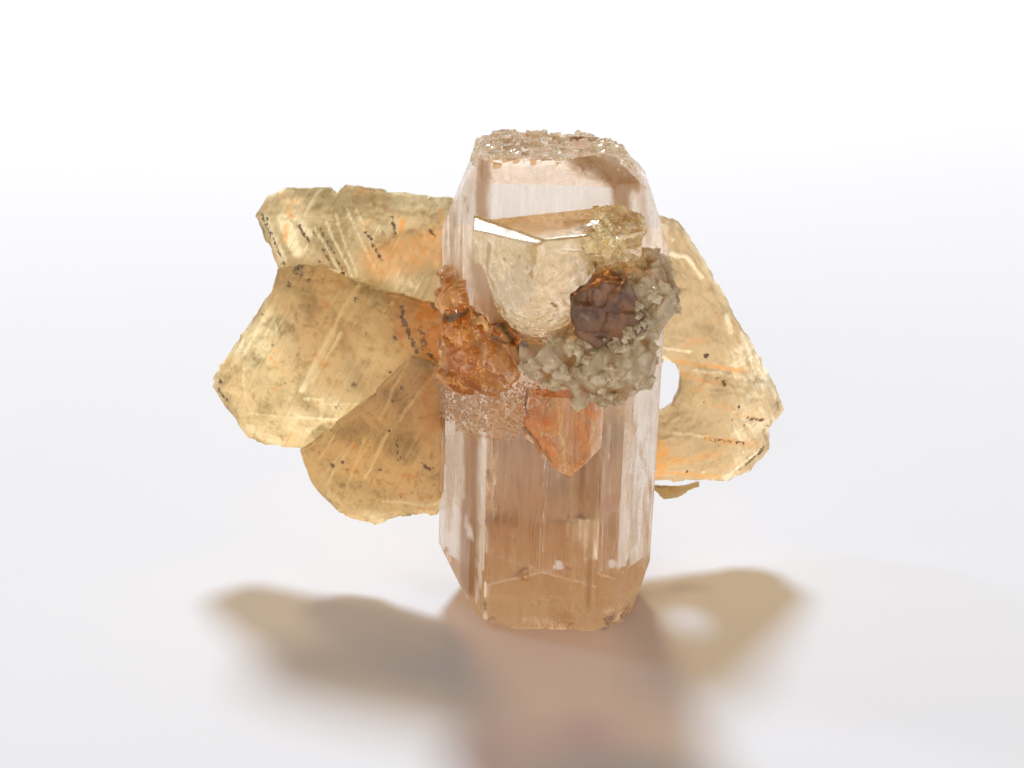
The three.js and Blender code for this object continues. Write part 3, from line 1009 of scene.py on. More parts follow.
@dataclass
class MicaBook:
    """A book of mica: thin leaves between a front and a back, with a ragged layered rim.

    Attributes:
        name: the piece's name.
        node: the solid that it stands for.
        outline: corners of the whole book as (along, up), mm, anticlockwise or clockwise.
        core: corners of the part that stands proudest at the front, empty for none.
        hole: corners of a gap through the book, empty for none.
        place: where along = 0 and depth = 0 is, (x, y), mm.
        turn: of the book about Z, degrees.
        back: depth of its back face, mm.
        rim: thickness at the rim, mm.
        body: thickness away from the rim, mm.
        proud: thickness that the core adds, mm.
        way: 1 where the crystal is at larger along, -1 where it is at smaller.
        marks: what its front shows.
        seed: of its ragged rim and relief.
        finish: its finish.
        pitch: distance between points of its faces, mm.
        leaves: how many steps its rim has.
        ragged: how far the rim wanders, mm.
    """

    name: str
    node: str
    outline: Sequence[Point]
    core: Sequence[Point]
    hole: Sequence[Point]
    place: Point
    turn: float
    back: float
    rim: float
    body: float
    proud: float
    way: int
    marks: Sequence[Mark]
    seed: int
    finish: MicaFinish
    pitch: float = 0.14
    leaves: int = 8
    ragged: float = 0.16

    def _rim_loop(self, corners_: Sequence[Point], shift: int) -> Array:
        """Makes a closed outline ragged.

        Args:
            corners_: its corners.
            shift: added to the seed.

        Returns:
            Points along it, one pitch apart, anticlockwise.
        """
        loop = np.array(corners_, float)
        area = np.sum(loop[:, 0] * np.roll(loop[:, 1], -1) - np.roll(loop[:, 0], -1) * loop[:, 1])
        if area < 0:
            loop = loop[::-1]
        points, sides = [], []
        for first, second in zip(loop, np.roll(loop, -1, axis=0)):
            length = np.linalg.norm(second - first)
            count = max(1, round(length / self.pitch))
            part = np.arange(count)[:, None] / count
            points.append(first + (second - first) * part)
            along = (second - first) / max(length, TINY)
            sides.append(np.tile([along[1], -along[0]], (count, 1)))
        line, side = np.vstack(points), np.vstack(sides)
        flat = np.column_stack([line, np.zeros(len(line))])
        teeth = layered_noise(flat, 1.3, 4, self.seed + shift)
        _, chip, _ = cell_noise(flat, 0.8, self.seed + shift + 7)
        return line + side * (teeth * self.ragged * 1.5 - chip * self.ragged)[:, None]

    @staticmethod
    def _inside(points: Array, loop: Array) -> Array:
        """Tells which points lie inside a closed loop.

        Args:
            points: one row of two coordinates a point.
            loop: its corners.

        Returns:
            True for each point inside.
        """
        inside = np.zeros(len(points), bool)
        for (x1, y1), (x2, y2) in zip(loop, np.roll(loop, -1, axis=0)):
            if y1 == y2:
                continue
            crosses = (y1 > points[:, 1]) != (y2 > points[:, 1])
            at = x1 + (points[:, 1] - y1) * (x2 - x1) / (y2 - y1)
            inside ^= crosses & (points[:, 0] < at)
        return inside

    def _within(self, points: Array, rim: Array, *holes: Array) -> Array:
        """Whether each point lies inside the rim and outside the holes."""
        inside = self._inside(points, rim)
        for hole in holes:
            inside &= ~self._inside(points, hole)
        return inside

    @staticmethod
    def _edge_distance(points: Array, *loops: Array) -> Array:
        """Distance of each point from the nearest of the closed loops."""
        best = np.full(len(points), MISS)
        for loop in loops:
            for first, second in zip(loop, np.roll(loop, -1, axis=0)):
                best = np.minimum(best, segment_distance(points, first, second))
        return best

    def _grid(self, loops: Sequence[Array]) -> tuple[Array, Array]:
        """Triangulates the plane inside the loops.

        Args:
            loops: the rim, then the hole's if there is one.

        Returns:
            The points and the triangles, anticlockwise.
        """
        low, high = loops[0].min(axis=0), loops[0].max(axis=0)
        along, up = np.meshgrid(
            np.arange(low[0], high[0], self.pitch), np.arange(low[1], high[1], self.pitch)
        )
        grid = np.column_stack([along.ravel(), up.ravel()])
        flat = np.column_stack([grid, np.zeros(len(grid))]) / self.pitch
        jitter = [lattice_values(np.round(flat), self.seed + k) - 0.5 for k in (3, 4)]
        grid = grid + np.column_stack(jitter) * self.pitch * 0.5
        grid = grid[self._within(grid, *loops)]
        grid = grid[self._edge_distance(grid, *loops) > self.pitch * 0.6]
        points = np.vstack([*loops, grid])
        edges, first = [], 0
        for loop in loops:
            count = len(loop)
            edges += [(first + i, first + (i + 1) % count) for i in range(count)]
            first += count
        found = delaunay_2d_cdt([Vector(p) for p in points.tolist()], edges, [], 0, WELD)
        points = np.array([tuple(p) for p in found[0]])
        triangles = np.array([face for face in found[2] if len(face) == 3])
        triangles = triangles[self._within(points[triangles].mean(axis=1), *loops)]
        first, second = (points[triangles[:, k]] - points[triangles[:, 0]] for k in (1, 2))
        turned = first[:, 0] * second[:, 1] < first[:, 1] * second[:, 0]
        triangles[turned] = triangles[turned][:, ::-1]
        used = np.unique(triangles)
        fresh = np.full(len(points), -1)
        fresh[used] = np.arange(len(used))
        return points[used], fresh[triangles]

    def _terraces(self, rim: Array, flat: Array) -> Array:
        """Adds leaf after leaf, going in from the rim.

        Args:
            rim: distance of each point from the rim, mm.
            flat: the points with a third coordinate, which picks the pattern.

        Returns:
            The thickness at each point, from 0 to 1.
        """
        wander = layered_noise(flat, 2.2, 4, self.seed + 20)
        total = np.zeros(len(rim))
        steps = np.geomspace(0.22, 2.6, self.leaves)
        for number, step in enumerate(steps):
            own = layered_noise(flat, 1.1, 3, self.seed + 30 + number)
            edge = step * (1.0 + 1.3 * wander + 1.2 * own)
            total += soft_step(rim, edge - 0.05, edge + 0.05)
        return total / len(steps)

    def _front(self, points: Array, rim: Array, layers: Array) -> Array:
        """Shapes the front face.

        Args:
            points: places on it.
            rim: their distance from the rim, mm.
            layers: their paint, which raises flaws and sinks dirt.

        Returns:
            The depth of each point, mm.
        """
        flat = np.column_stack([points, np.zeros(len(points))])
        thick = self.rim + (self.body - self.rim) * self._terraces(rim, flat)
        if len(self.core):
            core = np.array(self.core, float)
            side = np.where(self._inside(points, core), 1, -1)
            signed = self._edge_distance(points, core) * side
            wander = 1.6 * layered_noise(flat, 1.6, 4, self.seed + 60)
            rise = sum(
                soft_step(signed + wander, at - 0.06, at + 0.06) for at in (-0.2, 0.1, 0.5, 1.1)
            )
            thick = thick + self.proud * rise / 4.0
        relief = 0.22 * layered_noise(flat, 4.0, 2, self.seed + 70)
        relief += 0.08 * layered_noise(flat, 0.8, 3, self.seed + 71)
        streaks = layered_noise(self._along_fold(flat), 0.8, 3, self.seed + 72)
        relief += 0.09 * np.abs(streaks)
        folds = 0.16 * layers[:, Tint.PALE.value] - 0.10 * layers[:, Tint.DIRT.value]
        folds = folds - 0.16 * layers[:, Tint.SHADE.value]
        edge = soft_step(rim, 0.0, 0.5)
        return self.back - thick - (relief + folds * 0.8) * edge

    def _along_fold(self, flat: Array) -> Array:
        """flat squeezed so that noise on it draws out into streaks down the folds."""
        lean = math.radians(62.0 if self.way > 0 else 116.0)
        along = flat[:, 0] * math.cos(lean) + flat[:, 1] * math.sin(lean)
        across = -flat[:, 0] * math.sin(lean) + flat[:, 1] * math.cos(lean)
        return np.column_stack([along * STRETCH, across, flat[:, 2]])

    def _backs(self, points: Array, rim: Array) -> Array:
        """Depth of the back face at each point, mm."""
        flat = np.column_stack([points, np.full(len(points), 9.0)])
        steps = self._terraces(rim * 1.2, flat)
        relief = 0.05 * layered_noise(flat, 3.0, 3, self.seed + 80)
        return self.back - min(0.4, self.rim * 0.3) * (1.0 - steps) - np.abs(relief)

    def _reach(self, space: Array, hull: Hull) -> Array:
        """How far along, in mm, each point would meet the crystal at its depth and height."""
        way = np.array([math.cos(self._lean), math.sin(self._lean), 0.0]) * self.way
        return hull.entry(self._world(space * np.array([0.0, 1.0, 1.0])), way, CLEARANCE)

    @property
    def _lean(self) -> float:
        """The book's turn in radians."""
        return math.radians(self.turn)

    @property
    def _middle(self) -> float:
        """Depth of the middle of the book, mm."""
        return self.back - self.body * 0.6

    def _world(self, space: Array) -> Array:
        """Places (along, depth, up) points in the shared frame, mm."""
        c, s = math.cos(self._lean), math.sin(self._lean)
        x = self.place[0] + space[:, 0] * c - space[:, 1] * s
        y = self.place[1] + space[:, 0] * s + space[:, 1] * c
        return np.column_stack([x, y, space[:, 2]])

    def _cut_loop(self, loop: Array, hull: Hull) -> Array:
        """Ends the outline where the middle of the book meets the crystal."""
        space = np.column_stack([loop[:, 0], np.full(len(loop), self._middle), loop[:, 1]])
        along = space[:, 0] * self.way
        over = np.maximum(along - self._reach(space, hull), 0.0)
        cut = np.column_stack([(along - over) * self.way, loop[:, 1]])
        apart = np.linalg.norm(cut - np.roll(cut, 1, axis=0), axis=1)
        return cut[apart > self.pitch * 0.3]

    def build(self, hull: Hull, material: Material) -> Object:
        """Makes and dresses the book.

        Args:
            hull: the crystal that it has grown against.
            material: its finish.

        Returns:
            The finished piece.
        """
        loops = [self._cut_loop(self._rim_loop(self.outline, 0), hull)]
        if len(self.hole):
            loops.append(self._rim_loop(self.hole, 100))
        points, triangles = self._grid(loops)
        rim = self._edge_distance(points, *loops)
        layers = painted(points, self.marks, 0.10, self.seed + 90)
        front, back = self._front(points, rim, layers), self._backs(points, rim)
        wall, wall_faces, ring = self._wall(points, front, back, triangles)
        faces = triangles.tolist() + (triangles[:, ::-1] + len(points)).tolist() + wall_faces
        sheets = [np.column_stack([points[:, 0], depth, points[:, 1]]) for depth in (front, back)]
        space = self._slanted(np.vstack([*sheets, wall]), hull)
        piece = new_piece(self.name, self._world(space) * MM, faces)

        bare = layers * np.array([0.6, 0.5, 0.4, 0.0])
        lines = np.tile(layers[ring], (len(wall) // len(ring), 1)) * 0.4
        lines[:, Tint.PALE.value] = np.maximum(lines[:, Tint.PALE.value], self._wall_lines(wall))
        store(piece, Layer.TINT, np.vstack([layers, bare, lines]))
        folds = self._along_fold(space[:, [0, 2, 1]]) / np.array([STRETCH, 1.0, 1.0])
        folds[:, 2] = np.concatenate([rim, rim, np.zeros(len(wall))])
        store(piece, Layer.FOLD, folds)
        return dress(piece, material, "mica", self.node)

    def _slanted(self, space: Array, hull: Hull) -> Array:
        """Slants the end of the book to lie along the crystal's surface.

        Args:
            space: all of the book's points as (along, depth, up), mm.
            hull: the crystal.

        Returns:
            The moved points.
        """
        middle = space * np.array([0.0, 0.0, 1.0])
        middle[:, 1] = self._middle
        own, shared = self._reach(space, hull), self._reach(middle, hull)
        along = space[:, 0] * self.way
        near = soft_step(along, shared - TAPER, shared)
        hit = (own < MISS) & (shared < MISS)
        slide = np.where(hit, np.clip(own - shared, -2.0, 2.0), 0.0)
        moved = space.copy()
        moved[:, 0] = (along + near * slide) * self.way
        return moved

    def _wall(
        self, points: Array, front: Array, back: Array, triangles: Array
    ) -> tuple[Array, list[list[int]], Array]:
        """The layered wall between the front's edge and the back's.

        Args:
            points: the plane points of front and back.
            front: depth of each front point.
            back: depth of each back point.
            triangles: the front's faces.

        Returns:
            The wall's own points, its faces, and the plane point under each point of a row.
        """
        count = len(points)
        directed = np.vstack([triangles[:, [0, 1]], triangles[:, [1, 2]], triangles[:, [2, 0]]])
        keys = directed[:, 0].astype(np.int64) * count + directed[:, 1]
        mirrored = directed[:, 1].astype(np.int64) * count + directed[:, 0]
        edges = directed[~np.isin(keys, mirrored)]
        ring = np.unique(edges)
        place = np.full(count, -1)
        place[ring] = np.arange(len(ring))

        outward = np.zeros((count, 2))
        along = points[edges[:, 1]] - points[edges[:, 0]]
        side = np.column_stack([along[:, 1], -along[:, 0]])
        for end in (0, 1):
            np.add.at(outward, edges[:, end], side)
        outward = outward[ring]
        outward /= np.maximum(np.linalg.norm(outward, axis=1), TINY)[:, None]

        rows, levels = [], [edges]
        middles = [(leaf + 0.5) / self.leaves for leaf in range(self.leaves)]
        shares = [middle + side / self.leaves for middle in middles for side in (-0.44, 0.44)]
        for number, share in enumerate(shares):
            levels.append(2 * count + number * len(ring) + place[edges])
            leaf = (number + 1) // 2
            depth = front[ring] + (back[ring] - front[ring]) * share
            flat = np.column_stack([points[ring], np.full(len(ring), leaf * 7.3)])
            push = 0.30 * layered_noise(flat, 1.4, 3, self.seed + 110) - 0.02
            push = push * math.sin(math.pi * share) ** 0.4
            spot = points[ring] + outward * push[:, None]
            rows.append(np.column_stack([spot[:, 0], depth, spot[:, 1]]))

        levels.append(edges + count)
        quads = [np.hstack([upper[:, ::-1], lower]) for upper, lower in zip(levels, levels[1:])]
        return np.vstack(rows), np.stack(quads, axis=1).reshape(-1, 4).tolist(), ring

    def _wall_lines(self, wall: Array) -> Array:
        """How pale each point of the wall is: every leaf has its own tone."""
        depth = np.floor((wall[:, 1] - self.back) / LEAF)
        cells = np.column_stack([depth, np.floor(wall[:, 0] / 1.5), np.floor(wall[:, 2] / 1.5)])
        return 0.2 + 0.6 * lattice_values(cells, self.seed + 120)


# ---- crystals and grown masses ----


# On the main crystal, PALE strokes are partly frosted patches and partly painted highlights: thin
# highlight lines and bright patches of painted light on the side faces. SHADE strokes are partly
# brown patches and partly painted shade: the dark strips beside the top window and down the left
# side.
CRYSTAL_MARKS = marks(
    Tint.PALE, (-72, 127, -67, 86, 110, 10), (-64, 138, -63, 93, 90, 10),
    (-69, 85, -70, 60, 62, 7), (-76, 110, -76, 81, 43, 6), (-44, 113, -46, 33, 12, 10),
    (-38, 133, -38, 86, 10, 9), (-49, 51, -48, 14, 10, 9), (-56, 75, -54, 68, 36, 10),
    (53, 149, 62, 108, 38, 7), (57, 112, 63, 58, 71, 9), (68, 92, 75, 36, 71, 9),
    (75, 92, 78, 58, 33, 8), (65, 71, 73, 34, 52, 8), (36, 148, 36, 118, 12, 6),
    (40, 153, 39, 126, 10, 6), (56, 64, 62, 42, 48, 5), (35, 10, 45, 12, 24, 8),
    (48, 13, 59, 12, 29, 9), (64, 10, 70, 13, 19, 7), (-4, 3, 18, 0, 33, 8), (-20, 6, 6, 8, 24, 5),
    (-47, 15, -41, 11, 19, 6), (-45, 338, -39, 337, 38, 9), (-29, 339, -24, 337, 33, 8),
    (3, 337, 8, 336, 29, 9), (-1, 336, 21, 326, 33, 9), (21, 326, 28, 324, 24, 7),
    (-69, 284, -66, 246, 150, 10), (-56, 325, -62, 293, 80, 5), (-66, 299, -70, 277, 90, 5),
    Tint.RUST, (-36, 25, -5, 24, 17, 9), (-5, 23, 24, 21, 19, 8), (14, 20, 24, 17, 33, 10),
    (-68, 152, -4, 162, 240, 8), (-49, 239, -30, 220, 90, 6), (-78, 148, -52, 156, 95, 5),
    (-52, 148, -16, 152, 95, 3.5), (10, 336, 29, 327, 81, 8), (23, 336, 52, 319, 71, 7),
    (29, 327, 36, 323, 48, 8), (44, 327, 56, 316, 48, 5), (61, 134, 77, 81, 17, 8),
    (56, 150, 69, 105, 17, 7), (68, 89, 78, 31, 14, 4), (-49, 149, -19, 160, 29, 6),
    (-32, 163, -21, 147, 29, 5), (1, 169, -6, 150, 38, 5), (-55, 181, -68, 161, 48, 5),
    (69, 159, 74, 127, 29, 4), (43, 171, 61, 145, 33, 5),
    Tint.DIRT, (18, 46, 12, 9), (46, 48, 12, 8), (0, 123, 10, 5), (-18, 106, 7, 4),
    (-67, 293, -68, 280, 7, 5), (-62, 306, -59, 297, 7, 5), (-59, 292, -60, 282, 7, 4),
    (-70, 277, -70, 266, 7, 4), (-63, 272, -61, 266, 7, 4), (-73, 275, -74, 262, 7, 4),
    (-36, 25, -21, 24, 12, 5), (5, 22, 11, 21, 10, 6), (-14, 147, -6, 134, 10, 5),
    (5, 118, 15, 114, 7, 4),
    Tint.SHADE, (-49, 331, -49, 295, 90, 10), (39, 320, 41, 298, 120, 10),
    (12, 335, 46, 319, 130, 10), (-52, 266, -44, 236, 120, 9), (-47, 248, -24, 216, 150, 10),
    (30, 140, 30, 19, 52, 8), (16, 118, 19, 22, 19, 4), (44, 87, 45, 67, 62, 8),
    (-54, 139, -54, 25, 160, 10), (51, 317, 61, 277, 57, 5), (65, 262, 67, 235, 38, 5),
    (-39, 23, 24, 18, 62, 3), (70, 139, 65, 123, 29, 4), (49, 145, 46, 105, 33, 3),
)
# On the small topaz, PALE strokes are partly pale flaws and partly painted glints and the painted
# bright rim of the shell fracture; the thin SHADE strokes along the shell's left edge are painted
# shade.
SIDE_MARKS = marks(
    Tint.PALE, (-55, 281, -53, 269, 56, 10), (-17, 300, 9, 304, 26, 8), (9, 304, 44, 305, 23, 7),
    (54, 302, 54, 296, 46, 10), (46, 304, 54, 302, 23, 8), (-39, 285, -41, 264, 22, 8),
    (-40, 265, -27, 239, 35, 10), (-27, 239, -15, 229, 90, 10), (-17, 234, 0, 228, 110, 10),
    (-2, 229, 11, 240, 90, 10), (11, 240, 18, 256, 36, 7), (-20, 281, -11, 270, 59, 5),
    (-13, 281, -4, 280, 10, 7), (-33, 280, -26, 284, 8, 6), (-8, 265, 3, 278, 10, 5),
    (9, 277, 17, 253, 26, 5), (19, 276, 25, 260, 36, 8), (27, 299, 34, 296, 23, 8),
    (29, 302, 24, 299, 13, 6), (21, 302, 31, 293, 16, 5), (7, 285, 9, 282, 13, 8),
    (38, 282, 43, 269, 20, 7), (-17, 300, -14, 300, 16, 6), (-48, 297, -40, 297, 7, 6),
    (-4, 248, -10, 238, 16, 8), (3, 255, 11, 243, 20, 7),
    Tint.RUST, (43, 298, 49, 303, 20, 9), (14, 296, 30, 279, 16, 8), (30, 305, 38, 302, 33, 4),
    (8, 295, 14, 292, 26, 5), (22, 295, 31, 290, 23, 6), (34, 292, 41, 283, 26, 5),
    (18, 290, 24, 273, 20, 8), (2, 296, 8, 292, 23, 5), (31, 301, 43, 296, 20, 5),
    (-26, 279, -13, 279, 10, 4), (-3, 255, 1, 247, 16, 6), (50, 283, 52, 280, 16, 8),
    (54, 290, 54, 280, 13, 4),
    Tint.DIRT, (15, 291, 21, 285, 13, 8), (24, 273, 27, 265, 13, 8), (23, 265, 25, 260, 13, 7),
    (-34, 276, 11, 8), (-25, 281, 10, 7), (-31, 273, -27, 272, 7, 4), (-17, 255, 13, 6),
    (-3, 252, -1, 250, 10, 8), (-19, 230, 16, 8), (-8, 286, 8, 5), (16, 242, 10, 5),
    (-12, 246, -11, 244, 8, 5), (8, 299, 8, 5), (-1, 296, 8, 5), (-28, 265, 10, 5),
    Tint.SHADE, (-44, 283, -45, 265, 14, 8), (-44, 263, -31, 238, 14, 8),
    (-31, 238, -18, 225, 14, 7), (-33, 297, 8, 299, 98, 5), (-34, 285, -14, 287, 65, 3),
    (-25, 283, -24, 258, 98, 3), (-8, 275, -8, 257, 98, 3), (15, 288, 22, 276, 65, 6),
    (31, 286, 42, 280, 49, 4),
)
# On the feldspar, the PALE strokes are pale grains, and among them a painted glint.
FELDSPAR_MARKS = marks(
    Tint.PALE, (-15, 221, -2, 217, 82, 8), (41, 226, 40, 220, 23, 10), (57, 268, 52, 266, 120, 10),
    (63, 257, 68, 234, 150, 9), (56, 224, 63, 218, 130, 8), (24, 219, 19, 193, 49, 6),
    (34, 234, 38, 228, 20, 8), (38, 264, 43, 268, 26, 8), (16, 187, 19, 189, 26, 6),
    (63, 220, 70, 228, 49, 5), (-1, 206, 2, 198, 33, 4), (44, 212, 51, 205, 39, 4),
    Tint.RUST, (3, 193, 15, 188, 36, 6), (33, 197, 44, 192, 43, 9), (60, 259, 62, 258, 20, 8),
    (52, 254, 54, 252, 23, 7), (25, 199, 33, 195, 26, 6), (-11, 211, -3, 197, 33, 5),
    (12, 216, 5, 213, 39, 4), (46, 255, 52, 245, 23, 6), (6, 193, 12, 191, 23, 7),
    (60, 210, 62, 214, 23, 4), (-8, 207, -1, 193, 23, 5), (34, 217, 37, 211, 23, 4),
    Tint.DIRT, (-20, 218, 36, 9), (18, 205, 43, 9), (18, 208, 22, 207, 20, 6),
    (16, 203, 17, 203, 23, 6), (0, 216, 2, 214, 13, 5), (12, 197, 13, 197, 13, 5),
    (62, 242, 63, 241, 10, 6), (50, 230, 51, 229, 10, 5), (26, 229, 27, 229, 13, 5),
    (35, 203, 35, 202, 13, 6), (38, 193, 40, 192, 13, 8), (24, 224, 25, 224, 10, 5),
    Tint.SHADE, (-2, 216, 19, 203, 98, 5), (18, 217, 31, 211, 82, 5), (31, 243, 34, 253, 33, 3),
    (47, 218, 51, 209, 65, 3),
)
SMOKY_MARKS = marks(
    Tint.PALE, (30, 266, 31, 265, 16, 5), (23, 236, 25, 235, 13, 4), (42, 265, 45, 262, 23, 4),
    (16, 249, 20, 246, 13, 3),
    Tint.RUST, (22, 265, 32, 268, 65, 6), (32, 267, 41, 267, 49, 5), (12, 236, 17, 236, 39, 4),
    (38, 248, 45, 245, 49, 4),
    Tint.DIRT, (22, 263, 23, 7), (30, 255, 35, 248, 65, 5), (23, 236, 30, 234, 49, 5),
    (24, 250, 26, 247, 23, 5), (39, 262, 39, 260, 23, 4), (48, 255, 20, 5),
    Tint.SHADE, (17, 236, 27, 230, 49, 4),
)
# On the crust, most PALE strokes are painted glints and sparkles.
CRUST_MARKS = marks(
    Tint.PALE, (-41, 208, 29, 10), (-41, 205, 20, 9), (-68, 188, -63, 186, 16, 9),
    (-59, 183, -56, 182, 23, 9), (-37, 189, -36, 188, 20, 9), (-29, 190, -28, 190, 20, 9),
    (-36, 183, -34, 182, 20, 9), (-41, 212, -39, 211, 10, 5), (-71, 192, -70, 191, 13, 8),
    (-59, 241, -53, 234, 13, 7), (-68, 247, -66, 245, 16, 8), (-74, 225, -72, 222, 13, 5),
    (-45, 229, -43, 229, 16, 5), (-33, 213, -31, 210, 13, 5), (-73, 231, -59, 236, 43, 5),
    (-71, 240, -64, 239, 33, 5), (-47, 186, -44, 184, 13, 6),
    Tint.RUST, (-72, 219, -48, 230, 43, 5), (-48, 223, -34, 199, 49, 4),
    (-75, 192, -61, 194, 43, 6), (-28, 213, -20, 194, 43, 7), (-73, 248, -63, 250, 33, 5),
    (-61, 249, -40, 230, 49, 6), (-51, 233, -40, 228, 56, 7), (-56, 177, -31, 181, 33, 6),
    Tint.DIRT, (-73, 224, -63, 230, 11, 9), (-63, 230, -57, 233, 11, 9),
    (-52, 233, -47, 230, 13, 9), (-43, 222, -31, 216, 16, 7), (-38, 228, -26, 216, 20, 8),
    (-26, 217, -20, 198, 13, 7), (-73, 211, -74, 206, 11, 6), (-59, 209, -58, 208, 10, 5),
    (-48, 216, -47, 216, 8, 5), (-45, 199, -44, 198, 8, 5), (-71, 182, -63, 182, 10, 6),
    (-24, 192, -22, 189, 16, 6), (-34, 195, -33, 194, 10, 6), (-71, 243, -70, 235, 13, 5),
    Tint.SHADE, (-39, 230, -27, 220, 65, 6), (-26, 216, -21, 205, 49, 5),
)
TIP_MARKS = marks(
    Tint.PALE, (4, 176, 6, 155, 10, 9), (8, 152, 10, 134, 10, 9), (12, 147, 15, 130, 10, 8),
    (12, 125, 21, 133, 14, 10), (1, 147, 12, 127, 10, 6), (28, 160, 26, 150, 12, 7),
    (16, 168, 18, 160, 10, 6), (6, 155, 8, 142, 7, 9),
    Tint.RUST, (-17, 157, 1, 141, 62, 9), (-6, 149, 4, 133, 38, 7), (-12, 160, -2, 160, 48, 8),
    (18, 163, 23, 147, 71, 5), (17, 179, 27, 168, 71, 6), (5, 173, 3, 157, 38, 5),
    Tint.DIRT, (-19, 155, -9, 148, 12, 7), (-9, 148, 1, 136, 12, 7), (-7, 167, 0, 178, 14, 5),
    (7, 126, 13, 122, 10, 6),
    Tint.SHADE, (0, 182, 3, 157, 38, 4), (27, 168, 29, 152, 29, 4),
)


@dataclass
class Mineral:
    """A crystal or a grown mass that is made from its solid.

    Attributes:
        name: the piece's name.
        node: the solid that it stands for.
        slot: the name of its material slot, which is only written to the log.
        marks: spots and streaks on its front, as (across, up), mm.
        seed: of its relief.
    """

    name: str
    node: str
    slot: str
    marks: Sequence[Mark]
    seed: int

    def build(self, solid: Object, material: Material) -> Object:
        """Makes and dresses the piece.

        Args:
            solid: the solid that it is made from.
            material: its finish.

        Returns:
            The finished piece.
        """
        piece = node_copy(self.name, solid)
        self._shape(piece)
        return dress(piece, material, self.slot, self.node)

    def _shape(self, piece: Object) -> None:
        """Turns the copy of the solid into the piece; each kind has its own way."""
        raise NotImplementedError


@dataclass
class MainTopaz(Mineral):
    """The main crystal: the solid's facets with softened edges, frost and growth hills.

    Attributes:
        edge: width of the softened edges, mm.
        long_edge: shorter edges stay sharp, mm.
        sharp: degrees from which an edge is softened.
        grid: size of the cells that its faces are cut into, mm.
        hills: height from which growth hills cover it, mm.
        foot_frost: cover of the dull film at the foot.
        side_frost: its cover on the upper half of the sides.
    """

    edge: float = 0.07
    long_edge: float = 1.2
    sharp: float = 12.0
    grid: tuple[float, float] = (0.22, 0.5)
    hills: float = 32.2
    foot_frost: float = 0.6
    side_frost: float = 0.28

    def _shape(self, piece: Object) -> None:
        """Softens the edges, then paints the marks, the frost and the ground of the hills.

        Args:
            piece: the copy of the solid.
        """
        soften(piece, self.edge, self.long_edge, self.sharp)
        refine(piece, *self.grid)
        points, normals = corners(piece), corner_normals(piece)
        layers = painted(points[:, [0, 2]], self.marks, 0.14, self.seed)
        layers *= soft_step(normals[:, 1], 0.25, -0.1)[:, None]
        shade, pale = Tint.SHADE.value, Tint.PALE.value
        hills = soft_step(points[:, 2], self.hills - 0.3, self.hills + 0.5)
        hills *= soft_step(normals[:, 2], 0.2, 0.5) * (0.8 - layers[:, shade] * 0.7)
        layers[:, pale] = np.maximum(layers[:, pale], hills)
        store(piece, Layer.TINT, layers)
        store(piece, Layer.FROST, self._frost(points, normals))
        store(piece, Layer.GRAIN, hills)

    def _frost(self, points: Array, normals: Array) -> Array:
        """How thick the dull film is: on the foot, the sides, the rear dome and the rear edges.

        Args:
            points: places on the crystal, mm.
            normals: its directions there.

        Returns:
            From 0 to 1 for each point.
        """
        across, up = points[:, [0, 2]].T
        foot = self.foot_frost * soft_step(up, 0.30, 0.05)
        sides = self.side_frost * soft_step(np.abs(normals[:, 0]), 0.3, 0.6)
        sides *= soft_step(up, 32.5, 31.5) * (1.0 - soft_step(up, 16.0, 14.0))
        rear = soft_step(normals[:, 1], 0.1, 0.4)
        dome = rear * soft_step(normals[:, 2], 0.15, 0.4) * soft_step(across, 4.0, 3.2)
        edges = soft_step(across, 4.2, 5.2) + soft_step(across, -4.6, -5.6)
        edges *= rear * soft_step(up, 3.0, 5.0) * soft_step(up, 15.5, 13.5)
        return np.maximum.reduce([foot, sides, dome, edges])


def soften(piece: Object, width: float, long_edge: float, sharp: float) -> None:
    """Rounds the long sharp edges of piece.

    Args:
        piece: a faceted piece.
        width: of the rounding, mm.
        long_edge: shorter edges stay as they are, mm.
        sharp: degrees from which an edge counts.
    """
    work = bmesh.new()
    work.from_mesh(piece.data)
    edges = [
        edge
        for edge in work.edges
        if edge.calc_length() > long_edge * MM
        and len(edge.link_faces) == 2
        and edge.calc_face_angle(0.0) > math.radians(sharp)
    ]
    bmesh.ops.bevel(
        work, geom=edges, offset=width * MM, offset_type="OFFSET", segments=2, profile=0.6,
        affect="EDGES", clamp_overlap=True,
    )
    work.to_mesh(piece.data)
    work.free()
    piece.data.update()


def refine(piece: Object, across: float, up: float) -> None:
    """Slices the faces of piece into cells, so that its paint has corners to sit on.

    Args:
        piece: a closed mesh.
        across: distance between the upright cuts, mm.
        up: distance between the level cuts, mm.
    """
    work = bmesh.new()
    work.from_mesh(piece.data)
    points = corners(piece)
    for axis, step in ((0, across), (2, up)):
        low, high = points[:, axis].min(), points[:, axis].max()
        way = Vector([float(axis == number) for number in range(3)])
        for place in np.arange(low + step / 2, high, step):
            every = [*work.verts, *work.edges, *work.faces]
            bmesh.ops.bisect_plane(work, geom=every, plane_co=way * place * MM, plane_no=way)
    work.to_mesh(piece.data)
    work.free()
    piece.data.polygons.foreach_set("use_smooth", [False] * len(piece.data.polygons))
    piece.data.update()


